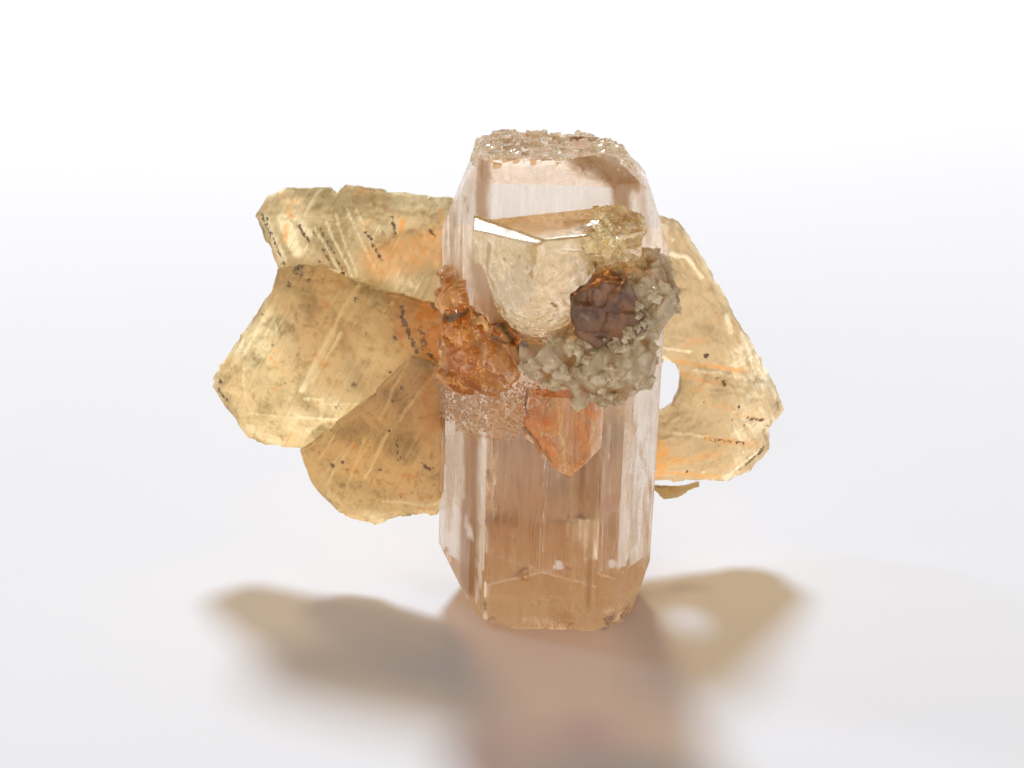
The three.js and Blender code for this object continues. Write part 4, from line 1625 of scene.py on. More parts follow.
@dataclass
class SideTopaz(Mineral):
    """The small topaz: a flat-faced head over a rounded shell fracture.

    Attributes:
        shell_top: height under which the fracture starts, mm.
        shell: middle of the fracture's ripples, mm.
        ripple: height and spacing of the ripples, mm.
        chips: depth of the chips low on the shell, mm.
        rough: height of the broken right edge's lumps, mm.
        evened: rounds of smoothing that the shell gets.
        voxel: size of its mesh cells, mm.
    """

    shell_top: float = 27.6
    shell: tuple[float, float, float] = (-1.05, -5.1, 28.0)
    ripple: tuple[float, float] = (0.035, 0.62)
    chips: float = 0.16
    rough: float = 0.30
    evened: int = 24
    voxel: float = 0.13

    def _shape(self, piece: Object) -> None:
        """Rounds and ripples the shell, and roughens the broken right edge.

        Args:
            piece: the copy of the solid.
        """
        remeshed(piece, self.voxel)
        points = corners(piece)
        shell = soft_step(points[:, 2], self.shell_top + 0.4, self.shell_top - 0.6)
        smooth_corners(piece, shell, self.evened)
        points, normals = corners(piece), corner_normals(piece)
        place_corners(piece, points + normals * self._relief(points, shell)[:, None])
        layers = painted(points[:, [0, 2]], self.marks, 0.12, self.seed + 20)
        layers *= soft_step(normals[:, 1], 0.35, 0.0)[:, None]
        store(piece, Layer.TINT, layers)
        rough = soft_step(points[:, 0], 1.3, 2.4) * soft_step(normals[:, 1], 0.2, -0.2)
        store(piece, Layer.GRAIN, rough)

    def _relief(self, points: Array, shell: Array) -> Array:
        """Ripples and chips the shell, and makes the right edge lumpy.

        Args:
            points: places on the piece, mm.
            shell: 1 where they are on the shell, else 0.

        Returns:
            How far each point stands out, mm.
        """
        away = points - np.array(self.shell)
        ring = np.hypot(away[:, 0], away[:, 2])
        warp = layered_noise(points, 1.5, 3, self.seed)
        height, spacing = self.ripple
        ripple = height * np.sin((ring + warp * 1.2) * math.tau / spacing)
        low = soft_step(points[:, 2], 25.2, 23.4)
        _, chip, _ = cell_noise(points, 0.55, self.seed + 3)
        right = soft_step(points[:, 0], 1.2, 2.2)
        rough = self.rough * layered_noise(points, 1.1, 4, self.seed + 5)
        chips = low * self.chips * (chip - 0.5)
        return shell * (ripple * (0.3 + low) + chips) + right * rough


def smooth_corners(piece: Object, mask: Array, rounds: int) -> None:
    """Evens out the corners of piece where mask is 1.

    Args:
        piece: a closed mesh.
        mask: 0 to 1 a corner.
        rounds: how many times each corner moves to the middle of its neighbours.
    """
    points = corners(piece)
    flat = np.zeros(len(piece.data.edges) * 2, dtype=np.int32)
    piece.data.edges.foreach_get("vertices", flat)
    ends = flat.reshape(-1, 2)
    count = np.bincount(ends.ravel(), minlength=len(points)).astype(float)[:, None]
    for _ in range(rounds):
        total = np.zeros_like(points)
        np.add.at(total, ends[:, 0], points[ends[:, 1]])
        np.add.at(total, ends[:, 1], points[ends[:, 0]])
        points += (total / np.maximum(count, 1) - points) * mask[:, None] * 0.7
    place_corners(piece, points)


@dataclass
class GrownMass(Mineral):
    """A small grown mass: its solid, swollen a little to touch its neighbours and roughened.

    Attributes:
        finish: its finish.
        voxel: size of its mesh cells, mm.
        swell: how far its whole surface moves out, mm.
        lumps: width and height of its lumps, mm.
        blocks: width and height of its blocky grains, mm.
        grit: width and height of its finest grain, mm.
        evened: rounds of smoothing before it is roughened.
    """

    finish: "StoneFinish | ClearStone"
    voxel: float
    swell: float
    lumps: tuple[float, float]
    blocks: tuple[float, float]
    grit: tuple[float, float]
    evened: int

    def _shape(self, piece: Object) -> None:
        """Swells and roughens the solid, and paints its dips rust-brown, as a stain and as painted
        shade.

        Args:
            piece: the copy of the solid.
        """
        remeshed(piece, self.voxel)
        smooth_corners(piece, np.ones(len(piece.data.vertices)), self.evened)
        points, normals = corners(piece), corner_normals(piece)
        width, height = self.lumps
        push = self.swell + height * 2.0 * layered_noise(points, width, 2, self.seed)
        width, height = self.blocks
        _, own, lean = cell_noise(points, width, self.seed + 4)
        push += height * (own - 0.5 + lean * 2.2)
        width, height = self.grit
        push += height * 2.0 * layered_noise(points, width, 3, self.seed + 9)
        place_corners(piece, points + normals * push[:, None])
        smooth_corners(piece, np.ones(len(points)), 1)
        layers = painted(points[:, [0, 2]], self.marks, 0.12, self.seed + 12)
        layers *= soft_step(normals[:, 1], 0.45, -0.15)[:, None]
        rust = Tint.RUST.value
        # Rust-brown stain in the dips, which also stands in for painted shade there.
        hollow_stain_and_shade = 0.75 * soft_step(push - push.mean(), -0.04, -0.22)
        layers[:, rust] = np.maximum(layers[:, rust], hollow_stain_and_shade)
        store(piece, Layer.TINT, layers)
        store(piece, Layer.GRAIN, soft_step(normals[:, 1], 0.7, 0.1))


@dataclass
class TipCrystal(Mineral):
    """The stained end of a second crystal, with a ragged left edge.

    Attributes:
        voxel: size of its mesh cells, mm.
        groove: height of the upright grooves, mm.
        chips: depth of the chips along the left edge, mm.
    """

    voxel: float = 0.09
    groove: float = 0.05
    chips: float = 0.18

    def _shape(self, piece: Object) -> None:
        """Grooves the faces and chips the left edge.

        Args:
            piece: the copy of the solid.
        """
        remeshed(piece, self.voxel)
        points, normals = corners(piece), corner_normals(piece)
        squeezed = points * np.array([1.0, 1.0, 0.25])
        push = self.groove * layered_noise(squeezed, 0.45, 3, self.seed)
        _, chip, _ = cell_noise(points, 0.5, self.seed + 2)
        push -= soft_step(points[:, 0], 0.2, -1.4) * self.chips * chip
        place_corners(piece, points + normals * push[:, None])
        store(piece, Layer.TINT, painted(points[:, [0, 2]], self.marks, 0.08, self.seed + 5))


# ---- studio ----


WARM = (1.0, 0.93, 0.82, 1.0)
COOL = (0.98, 1.0, 1.08, 1.0)
SENSOR = 36.0  # mm
BOUNCES = 16


@dataclass(frozen=True)
class Lamp:
    """A round lamp that shines on the specimen.

    Attributes:
        name: the lamp's name.
        turn: its direction about Z, degrees.
        rise: its height above the floor, degrees.
        size: its width, m.
        power: its power, W.
        colour: of its light.
    """

    name: str
    turn: float
    rise: float
    size: float
    power: float
    colour: Colour

    def hang(self, far: float) -> None:
        """Makes the lamp and aims it at the specimen.

        Args:
            far: its distance, m.
        """
        around, up = math.radians(self.turn), math.radians(self.rise)
        flat = math.cos(up)
        way = Vector((math.cos(around) * flat, math.sin(around) * flat, math.sin(up)))
        data = bpy.data.lights.new(self.name, "AREA")
        data.shape, data.size, data.energy = "DISK", self.size, self.power
        data.color = self.colour[:3]
        lamp = bpy.data.objects.new(self.name, data)
        lamp.location = way * far
        lamp.rotation_euler = (-way).to_track_quat("-Z", "Y").to_euler()
        bpy.context.scene.collection.objects.link(lamp)


@dataclass(frozen=True)
class Studio:
    """The camera, the lights and the floor.

    Attributes:
        eye: where the camera is, mm.
        rise: how far it looks down, degrees.
        roll: its tilt about the line of sight, degrees.
        lens: its focal length, mm.
        lamps: the key light behind, the small light at the left, the wide low light in front.
        far: their distance, m.
        sky: brightness of the light from above.
        walls: brightness of the pale walls all round.
        horizon: heights between which the walls give way to the sky, as sines.
        floor: colour of the floor.
        floor_size: half the floor's side, m.
    """

    eye: tuple[float, float, float] = (-2.69536643, -103.24642797, 53.95125452)
    rise: float = 20.0
    roll: float = 1.5
    lens: float = 54.914
    lamps: tuple[Lamp, ...] = (
        Lamp("key", 96.8, 50.0, 0.22, 13.0, COOL),
        Lamp("edge", 159.0, 40.0, 0.16, 1.2, COOL),
        Lamp("fill", -105.0, 13.0, 0.8, 2.7, WARM),
    )
    far: float = 1.2
    sky: float = 0.12
    walls: float = 1.15
    horizon: tuple[float, float] = (0.12, 0.5)
    floor: Colour = (0.85, 0.85, 0.85, 1.0)
    floor_size: float = 3.0

    def camera(self) -> None:
        """Makes the camera and the scene's colour and light settings."""
        rise, roll = math.radians(self.rise), math.radians(self.roll)
        right, up = Vector((1, 0, 0)), Vector((0, math.sin(rise), math.cos(rise)))
        ahead = Vector((0, math.cos(rise), -math.sin(rise)))
        leaned_right = right * math.cos(roll) + up * math.sin(roll)
        leaned_up = up * math.cos(roll) - right * math.sin(roll)
        data = bpy.data.cameras.new("camera")
        data.sensor_width, data.lens, data.clip_start = SENSOR, self.lens, 5.0 * MM
        camera = bpy.data.objects.new("camera", data)
        pose = Matrix((leaned_right, leaned_up, -ahead)).transposed().to_4x4()
        pose.translation = Vector(self.eye) * MM
        camera.matrix_world = pose
        scene = bpy.context.scene
        scene.collection.objects.link(camera)
        scene.camera = camera
        scene.view_settings.view_transform = "Standard"
        for bounces in ("max_bounces", "transmission_bounces", "transparent_max_bounces"):
            setattr(scene.cycles, bounces, BOUNCES)

    def light(self) -> None:
        """Makes the lamps and the light from all round."""
        for lamp in self.lamps:
            lamp.hang(self.far)
        world = bpy.data.worlds.new("sky")
        world.use_nodes = True
        sky = Tree(world.node_tree)
        way = sky.wire("ShaderNodeTexCoord", {}, {}, "Generated")
        up = sky.wire("ShaderNodeSeparateXYZ", {}, {0: way}, "Z")
        low, high = self.horizon
        inputs = {0: up, 1: low, 2: high, 3: self.walls, 4: self.sky}
        fade = sky.wire("ShaderNodeMapRange", {"interpolation_type": "SMOOTHSTEP"}, inputs)
        background = world.node_tree.nodes["Background"]
        background.inputs[0].default_value = WARM
        world.node_tree.links.new(fade.socket, background.inputs[1])
        bpy.context.scene.world = world

    def ground(self) -> None:
        """Makes the pale floor."""
        half = self.floor_size
        square = [(-half, -half, 0), (half, -half, 0), (half, half, 0), (-half, half, 0)]
        floor = new_piece("floor", np.array(square, float), [(0, 1, 2, 3)], smooth=False)
        recipe = Recipe("paper")
        cloud = recipe.noise(60.0, 3)
        colour = recipe.blend(cloud, self.floor, tinted(self.floor, 0.985))
        grain = recipe.bump(recipe.noise(0.5, 2), 0.02, 0.2)
        floor.data.materials.append(
            recipe.finish(recipe.shader(Base_Color=colour, Roughness=0.9, Normal=grain))
        )


# ---- finishes of this specimen ----


RUSTY = (0.42, 0.19, 0.06, 1)
GREY_SOIL = (0.06, 0.045, 0.045, 1)  # dirt in the hollows of an opaque stone
# The pale colour of this veil also paints highlights, and its shade colour paints the crystal's
# painted shade.
CLEAR_TOPAZ = ClearStone(
    "clear_topaz", TOPAZ_IOR, 0.0, (0.78, 0.50, 0.16, 1), 34.0, (0.65, 0.46, 0.30, 1),
    Veil(
        haze=0.13, film=(0.94, 0.73, 0.44, 1), pale=(0.98, 0.89, 0.78, 1),
        glow=(1.0, 0.93, 0.82, 1), stain=(0.62, 0.35, 0.17, 1), shade=(0.42, 0.20, 0.075, 1),
        size=0.55, upright=0.12,
    ),
    groove=0.012,
)
# The pale colour of this veil also paints the glints and the bright rim of the small topaz.
GREEN_TOPAZ = ClearStone(
    "greenish_topaz", TOPAZ_IOR, 0.02, (0.88, 0.74, 0.30, 1), 55.0, (0.94, 0.86, 0.66, 1),
    Veil(
        haze=0.32, film=(0.98, 0.80, 0.36, 1), pale=(1.0, 0.98, 0.74, 1),
        glow=(1.0, 0.90, 0.58, 1), stain=RUSTY, shade=(0.48, 0.32, 0.18, 1), size=0.6,
    ),
)
FROSTED_TOPAZ = replace(
    CLEAR_TOPAZ, name="frosted_topaz", density=5.0, shade=(0.97, 0.93, 0.85, 1),
    veil=replace(CLEAR_TOPAZ.veil, haze=1.5, film=(1.0, 0.88, 0.60, 1), upright=1.0, size=0.4),
)
GOLDEN_TOPAZ = replace(
    GREEN_TOPAZ, name="golden_topaz", density=30.0, shade=(0.97, 0.92, 0.76, 1),
    veil=replace(GREEN_TOPAZ.veil, haze=1.0, film=(0.98, 0.85, 0.58, 1), size=0.4),
)
HAZY_CRUMBS = replace(
    CLEAR_TOPAZ, name="hazy_crumbs", density=20.0, shade=(0.95, 0.85, 0.72, 1),
    veil=replace(CLEAR_TOPAZ.veil, haze=1.4, film=(0.90, 0.62, 0.38, 1), upright=1.0, size=0.5),
)
STAINED_QUARTZ = ClearStone(
    "stained_quartz", QUARTZ_IOR, 0.03, (0.97, 0.62, 0.24, 1), 380.0, (0.8, 0.58, 0.32, 1),
    Veil(
        haze=0.3, film=(0.93, 0.56, 0.20, 1), pale=(1.0, 0.88, 0.52, 1),
        glow=(1.0, 0.74, 0.38, 1), stain=(0.88, 0.32, 0.09, 1), shade=(0.5, 0.3, 0.14, 1),
        size=0.4, upright=0.25,
    ),
    groove=0.05,
)
# The pale colour of this veil paints the crust's glints and sparkles.
AMBER_CRUST = ClearStone(
    "amber_crust", QUARTZ_IOR, 0.04, (0.98, 0.66, 0.13, 1), 460.0, (0.7, 0.46, 0.2, 1),
    Veil(
        haze=0.22, film=(0.82, 0.43, 0.07, 1), pale=(1.0, 0.78, 0.30, 1),
        glow=(1.0, 0.54, 0.12, 1), stain=(0.36, 0.15, 0.05, 1), shade=(0.34, 0.19, 0.10, 1),
        size=0.5,
    ),
    ripple=0.03,
    ripple_size=0.7,
)
# The pale glow of these micas also gives the painted highlights along the fold ridges their
# colour.
GOLD_MICA = MicaFinish(
    "gold_mica", leaf=(0.70, 0.56, 0.36, 1), glow=(0.88, 0.75, 0.50, 1),
    warm=(0.95, 0.52, 0.20, 1), pale=(1.0, 0.96, 0.78, 1), dusk=(0.42, 0.34, 0.18, 1),
    clear=0.72, shade=(0.60, 0.47, 0.31, 1), smoke=0.95,
)
CREAM_MICA = MicaFinish(
    "cream_mica", leaf=(0.64, 0.53, 0.36, 1), glow=(0.74, 0.62, 0.44, 1),
    warm=(0.93, 0.56, 0.24, 1), pale=(1.0, 0.97, 0.85, 1), dusk=(0.50, 0.40, 0.24, 1),
    clear=0.72, shade=(0.66, 0.53, 0.35, 1), smoke=0.65,
)
DULL_MICA = replace(
    GOLD_MICA, name="dull_mica", leaf=(0.60, 0.49, 0.33, 1), glow=(0.76, 0.65, 0.45, 1)
)
FOOT_MICA = replace(
    CREAM_MICA, name="foot_mica", glow=(0.62, 0.56, 0.36, 1), warm=(0.70, 0.56, 0.32, 1)
)


@dataclass(frozen=True)
class StoneFinish:
    """Opaque stone, mottled and grainy.

    Attributes:
        name: the material's name.
        light: its palest colour.
        dark: its darkest colour.
        stain: colour of the iron stains.
        pale: colour of its palest grains and of its painted glints.
        gloss: roughness where it is smooth.
        dull: roughness where it is rough.
        grain: width of its mottles, mm.
        relief: depth of its fine bumps, mm.
        glow: share of light that soaks through.
    """

    name: str
    light: Colour
    dark: Colour
    stain: Colour
    pale: Colour
    gloss: float
    dull: float
    grain: float
    relief: float
    glow: float

    def material(self) -> Material:
        """Builds the nodes.

        Returns:
            The finished material.
        """
        recipe = Recipe(self.name)
        rust, pale, dirt, shade = recipe.paint()
        mottle = recipe.noise(self.grain, 4, 0.6)
        veins = recipe.cells(self.grain * 1.8).between(0.13, 0.0)
        speck = recipe.noise(self.grain * 0.3, 2, 0.6)
        colour = recipe.blend(mottle.between(0.32, 0.66), self.dark, self.light)
        # The pale layer is pale grains and painted glints.
        colour = recipe.blend(pale * (mottle * 0.8 + 0.4), colour, self.pale)
        colour = recipe.blend(shade * 0.6, colour, tinted(self.dark, 0.7))
        stained = (rust + veins * mottle.between(0.44, 0.6) * 0.75).bounded()
        colour = recipe.blend(stained, colour, self.stain)
        soil = (dirt * (speck * 1.4 + 0.2) + speck.between(0.72, 0.78)).bounded()
        colour = recipe.blend(soil, colour, GREY_SOIL)
        rough = (mottle.between(0.3, 0.7) * (self.dull - self.gloss) + self.gloss).bounded()
        normal = recipe.bump(mottle * 0.6 + speck * 0.4, self.relief, 0.8)
        face = recipe.shader(Base_Color=colour, Roughness=rough, Normal=normal, IOR=FELDSPAR_IOR)
        if not self.glow:
            return recipe.finish(face)
        share = (pale * 0.25 + self.glow - soil * self.glow).bounded()
        return recipe.finish(recipe.mixed(share, face, recipe.glow(self.light)))


# The pale colour also paints the feldspar's glint.
GREY_FELDSPAR = StoneFinish(
    "grey_feldspar", light=(1.0, 0.92, 0.70, 1), dark=(0.50, 0.36, 0.21, 1),
    stain=(0.40, 0.21, 0.08, 1), pale=(0.97, 0.97, 0.80, 1),
    gloss=0.10, dull=0.4, grain=0.9, relief=0.22, glow=0.4,
)
SMOKY_QUARTZ = StoneFinish(
    "smoky_quartz", light=(0.23, 0.11, 0.055, 1), dark=(0.12, 0.052, 0.026, 1),
    stain=(0.30, 0.14, 0.07, 1), pale=(0.55, 0.42, 0.32, 1),
    gloss=0.22, dull=0.5, grain=1.5, relief=0.1, glow=0.0,
)


# ---- the specimen ----


HULL_TOP = 30.0  # mm, under which the books meet the main crystal
UPPER_LEFT = (
    (-15.9, 25.7), (-14.8, 27.4), (-12.8, 28.2), (-9.7, 28.4), (-9.3, 28.1), (-8.6, 28.7),
    (-4.4, 28.5), (1.6, 28.5), (1.6, 17.0), (-9.8, 17.6), (-13.4, 20.0), (-14.0, 21.8),
)
UPPER_LEFT_FRONT = (
    (-11.9, 27.4), (-9.6, 27.9), (-4.4, 28.0), (1.6, 27.9), (1.6, 17.6), (-9.0, 18.2),
    (-10.4, 21.6), (-10.9, 24.4),
)
MIDDLE_LEFT = (
    (-13.7, 22.5), (-14.4, 20.8), (-16.1, 18.3), (-17.9, 15.7), (-19.4, 13.3), (-19.5, 12.5),
    (-18.7, 11.4), (-16.5, 8.8), (-15.2, 8.4), (-12.3, 8.6), (-6.5, 8.2), (0.7, 11.0),
    (0.7, 21.2), (-5.8, 21.8), (-8.5, 22.6), (-10.2, 23.1), (-12.0, 23.2),
)
MIDDLE_LEFT_FRONT = (
    (-12.6, 21.4), (-13.6, 19.3), (-15.4, 16.7), (-17.2, 13.8), (-16.9, 12.6), (-15.3, 11.0),
    (-12.0, 10.7), (-6.5, 10.0), (0.7, 11.6), (0.7, 19.6), (-4.6, 20.6), (-7.4, 21.8),
    (-9.2, 21.3),
)
LOWER_LEFT = (
    (-12.0, 9.5), (-11.4, 7.4), (-10.4, 6.1), (-8.4, 4.6), (-7.2, 4.35), (-5.8, 4.3), (-4.0, 5.3),
    (-1.1, 5.9), (-0.8, 6.5), (-0.1, 8.1), (0.2, 12.0), (0.2, 17.4), (-3.1, 17.9), (-4.8, 16.2),
    (-6.7, 14.2), (-9.5, 11.6),
)
RIGHT_OUTLINE = (
    (-3.9, 26.2), (0.4, 27.0), (1.8, 26.5), (2.3, 26.0), (3.3, 24.3), (4.7, 22.4), (7.3, 18.3),
    (10.2, 13.6), (11.5, 11.1), (10.3, 9.5), (10.5, 7.9), (9.1, 6.2), (7.3, 5.3), (4.1, 5.7),
    (-3.9, 6.2),
)
RIGHT_HOLE = (
    (0.2, 12.3), (1.3, 11.6), (2.3, 12.2), (2.8, 13.3), (2.7, 14.8), (2.2, 15.6), (1.2, 15.8),
    (0.2, 14.9),
)
RIGHT_FRONT = (
    (3.6, 15.3), (9.6, 13.4), (10.9, 11.2), (9.8, 9.6), (9.9, 8.0), (8.7, 6.6), (7.1, 5.9),
    (4.1, 6.2), (-3.9, 6.8), (-3.9, 10.3), (1.6, 10.9), (3.0, 12.0),
)
RIGHT_FOOT = (
    (-3.0, 6.1), (0.7, 5.9), (1.5, 5.1), (2.8, 5.3), (4.4, 6.0), (4.3, 6.4), (2.8, 6.2),
    (-3.0, 7.1),
)
# On the books, PALE strokes are partly leaves that have split apart and partly painted highlights
# along fold ridges and ledges; the short DIRT stroke just under the upper book's bright ledge is
# painted shade.
UPPER_MARKS = marks(
    Tint.PALE, (-101, 287, -115, 264, 16, 7), (-105, 256, -85, 224, 10, 6),
    (-97, 262, -76, 223, 13, 7), (-90, 268, -72, 225, 10, 6), (-81, 272, -58, 232, 13, 6),
    (-74, 273, -59, 245, 8, 4), (-105, 227, -82, 224, 16, 10), (-147, 257, -135, 229, 81, 6),
    (-132, 259, -122, 237, 97, 8), (-119, 260, -112, 252, 81, 6),
    Tint.RUST, (-129, 254, -131, 243, 40, 7), (-126, 261, 29, 5), (-37, 268, -40, 258, 29, 8),
    (-11, 277, -8, 271, 26, 7), (-39, 254, -29, 245, 23, 5), (-55, 236, -6, 254, 291, 5),
    Tint.DIRT, (-151, 260, -133, 224, 13, 8), (-147, 260, -138, 235, 8, 6),
    (-119, 255, -112, 245, 19, 8), (-93, 260, 23, 6), (-65, 257, -53, 238, 13, 8),
    (-46, 269, -44, 257, 8, 6), (-16, 263, -13, 259, 10, 8), (-102, 231, 13, 6),
    (-91, 223, -83, 224, 10, 7), (-107, 253, -91, 227, 8, 4), (-101, 256, -84, 227, 8, 4),
    Tint.SHADE, (-137, 272, -106, 276, 145, 5), (-105, 253, -85, 232, 178, 5),
    (-76, 282, -48, 250, 194, 3.5),
)
MIDDLE_MARKS = marks(
    Tint.PALE, (-74, 219, -89, 187, 13, 8), (-89, 187, -115, 139, 48, 8),
    (-83, 186, -106, 146, 23, 7), (-112, 132, -97, 133, 8, 9), (-99, 129, -55, 135, 6, 5),
    (-119, 117, -54, 120, 8, 8), (-135, 209, -165, 156, 10, 5), (-165, 151, -161, 118, 10, 4),
    (-163, 111, -114, 116, 10, 4), (-161, 98, -139, 90, 81, 5), (-46, 210, 23, 8),
    (-73, 220, 19, 9), (-11, 203, 29, 8), (-97, 235, 13, 10),
    Tint.DIRT, (-119, 226, 73, 9), (-126, 217, 40, 7), (-111, 220, 26, 6), (-72, 211, 26, 8),
    (-64, 188, 19, 7), (-41, 187, 19, 9), (-46, 162, 36, 5), (-73, 148, 45, 5), (-130, 141, 32, 4),
    (-138, 169, 16, 5), (-105, 208, 23, 4), (-34, 237, -20, 215, 23, 10),
    (-20, 215, -13, 208, 10, 9), (-39, 208, -35, 197, 23, 9), (-37, 202, -24, 179, 13, 9),
    (-24, 198, -18, 182, 32, 7), (-18, 183, -10, 172, 13, 8), (-86, 129, 48, 4),
    (-149, 190, 13, 6), (-185, 132, 36, 10), (-188, 126, -181, 119, 19, 9), (-157, 177, 10, 5),
    Tint.RUST, (-95, 206, 36, 10), (-136, 136, 32, 7), (-140, 159, 26, 6), (-130, 151, 23, 7),
    (-37, 257, -11, 183, 210, 8), (-53, 235, -28, 191, 194, 4), (-66, 151, 65, 3),
    Tint.SHADE, (-127, 187, 178, 3.5), (-148, 155, 97, 4), (-78, 178, 97, 4), (-64, 142, 65, 3),
    (-105, 104, -64, 123, 97, 5),
)
LOWER_MARKS = marks(
    Tint.PALE, (-34, 174, -53, 131, 13, 10), (-28, 183, -10, 177, 10, 8),
    (-12, 171, -44, 123, 11, 10), (-46, 121, -64, 83, 13, 9), (-64, 115, -79, 73, 11, 9),
    (-58, 116, -73, 89, 6, 5), (-73, 110, -97, 70, 10, 8), (-89, 112, -102, 92, 8, 6),
    (-109, 115, -113, 110, 8, 9), (-52, 66, -7, 69, 10, 10), (1, 86, -7, 70, 10, 10),
    (-95, 65, -62, 52, 65, 4), (-80, 104, -99, 78, 6, 5), (-9, 123, 1, 89, 81, 4),
    Tint.DIRT, (-46, 123, 16, 10), (-90, 89, 23, 10), (-82, 94, 19, 7), (-39, 119, -39, 101, 6, 6),
    (-20, 101, -15, 96, 16, 10), (-12, 98, 13, 9), (-37, 73, 36, 4), (-36, 103, 13, 5),
    (-20, 118, 13, 5), (-11, 84, 10, 6), (-37, 156, 16, 6), (-44, 145, 13, 7), (-102, 97, 13, 6),
    (-78, 88, 16, 5), (-53, 92, 23, 4),
    Tint.RUST, (-73, 107, 36, 6), (-101, 96, 19, 8), (-73, 91, 48, 3),
    (-18, 165, -13, 131, 97, 3.5),
    Tint.SHADE, (-27, 112, 145, 3.5), (-88, 79, -44, 73, 97, 3), (-107, 109, 81, 4),
)
RIGHT_MARKS = marks(
    Tint.PALE, (9, 243, 23, 239, 24, 10), (23, 239, 37, 223, 21, 9), (12, 253, 21, 10),
    (9, 170, 31, 165, 12, 7), (30, 166, 18, 10), (35, 151, 73, 144, 8, 6),
    (59, 191, 63, 179, 36, 9), (76, 142, 24, 10), (69, 104, 75, 92, 18, 8),
    (20, 103, 47, 97, 6, 5), (91, 82, 68, 61, 15, 9), (48, 66, 21, 6), (15, 267, 62, 197, 36, 5),
    (73, 175, 105, 124, 33, 6), (10, 163, 21, 152, 12, 10), (21, 150, 21, 133, 12, 10),
    Tint.DIRT, (44, 161, 24, 8), (58, 140, 30, 10), (53, 143, 18, 6), (71, 120, 12, 10),
    (43, 126, 12, 6), (67, 111, 9, 7), (78, 111, 95, 107, 15, 6), (77, 105, 12, 6),
    (35, 67, 12, 9), (97, 84, 79, 65, 18, 7), (46, 96, 77, 90, 8, 8), (24, 175, 18, 4),
    (108, 119, 96, 95, 9, 5),
    Tint.RUST, (21, 158, 77, 147, 21, 9), (21, 147, 59, 139, 24, 5), (28, 172, 42, 174, 45, 5),
    (47, 96, 90, 87, 45, 6), (11, 92, 12, 67, 91, 8), (14, 68, 63, 60, 24, 8),
    (52, 123, 65, 120, 30, 4), (68, 115, 95, 107, 24, 4), (18, 77, 58, 82, 61, 4),
    (47, 186, 53, 192, 30, 3),
    Tint.SHADE, (26, 198, 91, 3), (51, 132, 91, 3), (28, 118, 91, 3), (56, 90, 61, 4),
    (84, 162, 78, 154, 45, 3),
)

LEFT = {"turn": -17.0, "back": 1.65, "rim": 0.5, "body": 1.2, "proud": 0.4, "way": 1}
RIGHT = {"turn": 15.0, "back": 1.35, "rim": 0.5, "body": 1.1, "proud": 0.4, "way": -1}
FOOT = {**RIGHT, "back": 0.4, "rim": 0.3, "body": 0.4, "proud": 0.0}
BOOKS = (
    MicaBook(
        "upper_left_book", "mica_upper_left", UPPER_LEFT, UPPER_LEFT_FRONT, (),
        place=(-7.2, 3.4), marks=UPPER_MARKS, seed=100, finish=DULL_MICA, **LEFT,
    ),
    MicaBook(
        "middle_left_book", "mica_middle_left", MIDDLE_LEFT, MIDDLE_LEFT_FRONT, (),
        place=(-7.2, 1.2), marks=MIDDLE_MARKS, seed=300, finish=GOLD_MICA, **LEFT,
    ),
    MicaBook(
        "lower_left_book", "mica_lower_left", LOWER_LEFT, (), (),
        place=(-7.2, -1.0), marks=LOWER_MARKS, seed=500, finish=GOLD_MICA, **LEFT,
    ),
    MicaBook(
        "right_book", "mica_right", RIGHT_OUTLINE, RIGHT_FRONT, RIGHT_HOLE,
        place=(7.7, 6.5), marks=RIGHT_MARKS, seed=700, finish=CREAM_MICA, **RIGHT,
    ),
    MicaBook(
        "right_foot_leaf", "mica_right_foot", RIGHT_FOOT, (), (),
        place=(7.7, 5.4), marks=(), seed=900, finish=FOOT_MICA, leaves=3, **FOOT,
    ),
)
MASSES = (
    GrownMass(
        "feldspar_mass", "feldspar_matrix", "feldspar", FELDSPAR_MARKS, 21, GREY_FELDSPAR,
        voxel=0.11, swell=0.16, lumps=(2.2, 0.12), blocks=(1.9, 0.60), grit=(0.4, 0.05), evened=2,
    ),
    GrownMass(
        "smoky_quartz_grain", "smoky_grain", "smoky_quartz", SMOKY_MARKS, 33, SMOKY_QUARTZ,
        voxel=0.10, swell=0.10, lumps=(2.0, 0.16), blocks=(1.3, 0.42), grit=(0.4, 0.04), evened=3,
    ),
    GrownMass(
        "amber_crust_mass", "iron_crust", "iron_crust", CRUST_MARKS, 55, AMBER_CRUST,
        voxel=0.11, swell=0.16, lumps=(2.0, 0.14), blocks=(1.6, 0.42), grit=(0.35, 0.02), evened=4,
    ),
)
MAIN_CRYSTAL = MainTopaz("main_crystal", "topaz_crystal", "topaz", CRYSTAL_MARKS, 11)
SMALL_TOPAZ = SideTopaz("small_topaz", "side_topaz", "side_topaz", SIDE_MARKS, 41)
TIP = TipCrystal("stained_tip_crystal", "stained_tip", "stained_quartz", TIP_MARKS, 91)
HILLS = Scatter("growth_hills", "topaz", 3.6, 0.10, 0.42, seed=5, flat=0.5, standing=False)
CRUMBS = Scatter("crust_crumbs", "topaz", 20.0, 0.05, 0.2, seed=8, flat=0.5)
BROKEN_EDGE = Scatter("broken_edge", "side_topaz", 3.0, 0.08, 0.34, seed=3)
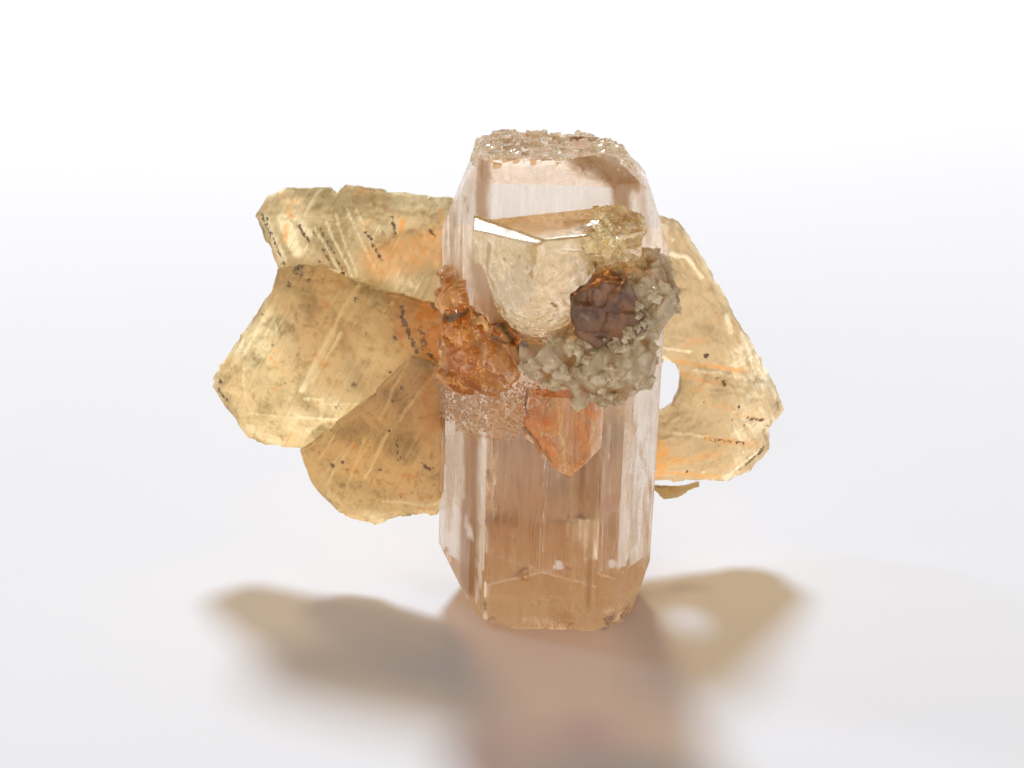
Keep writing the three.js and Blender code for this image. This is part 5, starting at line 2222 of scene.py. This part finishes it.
SUGAR = Scatter("feldspar_sugar", "feldspar", 0.7, 0.1, 0.4, seed=7)
BLOCKS = Scatter("feldspar_blocks", "feldspar", 7.0, 0.1, 0.32, seed=17)


def mask_crumbs(crystal: Object) -> None:
    """Masks the band below the crust, on the front of the main crystal, for its crumbs."""
    across, up = corners(crystal)[:, [0, 2]].T
    band = soft_step(np.abs(up - 16.8 - across * 0.12), 2.2, 1.2)
    band *= soft_step(across, 0.4, -0.8) * soft_step(corner_normals(crystal)[:, 1], 0.0, -0.3)
    store(crystal, Layer.GRAIN, band)


def mask_blocks(smoky: Object) -> None:
    """Masks the lower right edge of the smoky grain, where feldspar has grown over it."""
    across, up = corners(smoky)[:, [0, 2]].T
    store(smoky, Layer.GRAIN, soft_step(across - up * 0.7, -13.2, -12.2))


def main() -> None:
    """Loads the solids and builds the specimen's pieces over them."""
    logging.basicConfig(level=logging.INFO, format="%(message)s")
    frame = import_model()
    solids = frame["nodes"]
    studio = Studio()
    studio.camera()
    studio.light()
    studio.ground()

    crystal = MAIN_CRYSTAL.build(solids[MAIN_CRYSTAL.node], CLEAR_TOPAZ.material())
    HILLS.grown(crystal, FROSTED_TOPAZ.material())
    mask_crumbs(crystal)
    CRUMBS.grown(crystal, HAZY_CRUMBS.material())
    small = SMALL_TOPAZ.build(solids[SMALL_TOPAZ.node], GREEN_TOPAZ.material())
    BROKEN_EDGE.grown(small, GOLDEN_TOPAZ.material())
    TIP.build(solids[TIP.node], STAINED_QUARTZ.material())

    made = {mass.name: mass.build(solids[mass.node], mass.finish.material()) for mass in MASSES}
    spar = GREY_FELDSPAR.material()
    SUGAR.grown(made["feldspar_mass"], spar)
    mask_blocks(made["smoky_quartz_grain"])
    BLOCKS.grown(made["smoky_quartz_grain"], spar)

    hull = Hull.around(solids[MAIN_CRYSTAL.node], HULL_TOP)
    finishes = {book.finish.name: book.finish for book in BOOKS}
    looks = {name: finish.material() for name, finish in finishes.items()}
    for book in BOOKS:
        book.build(hull, looks[book.finish.name])


if __name__ == "__main__":
    main()
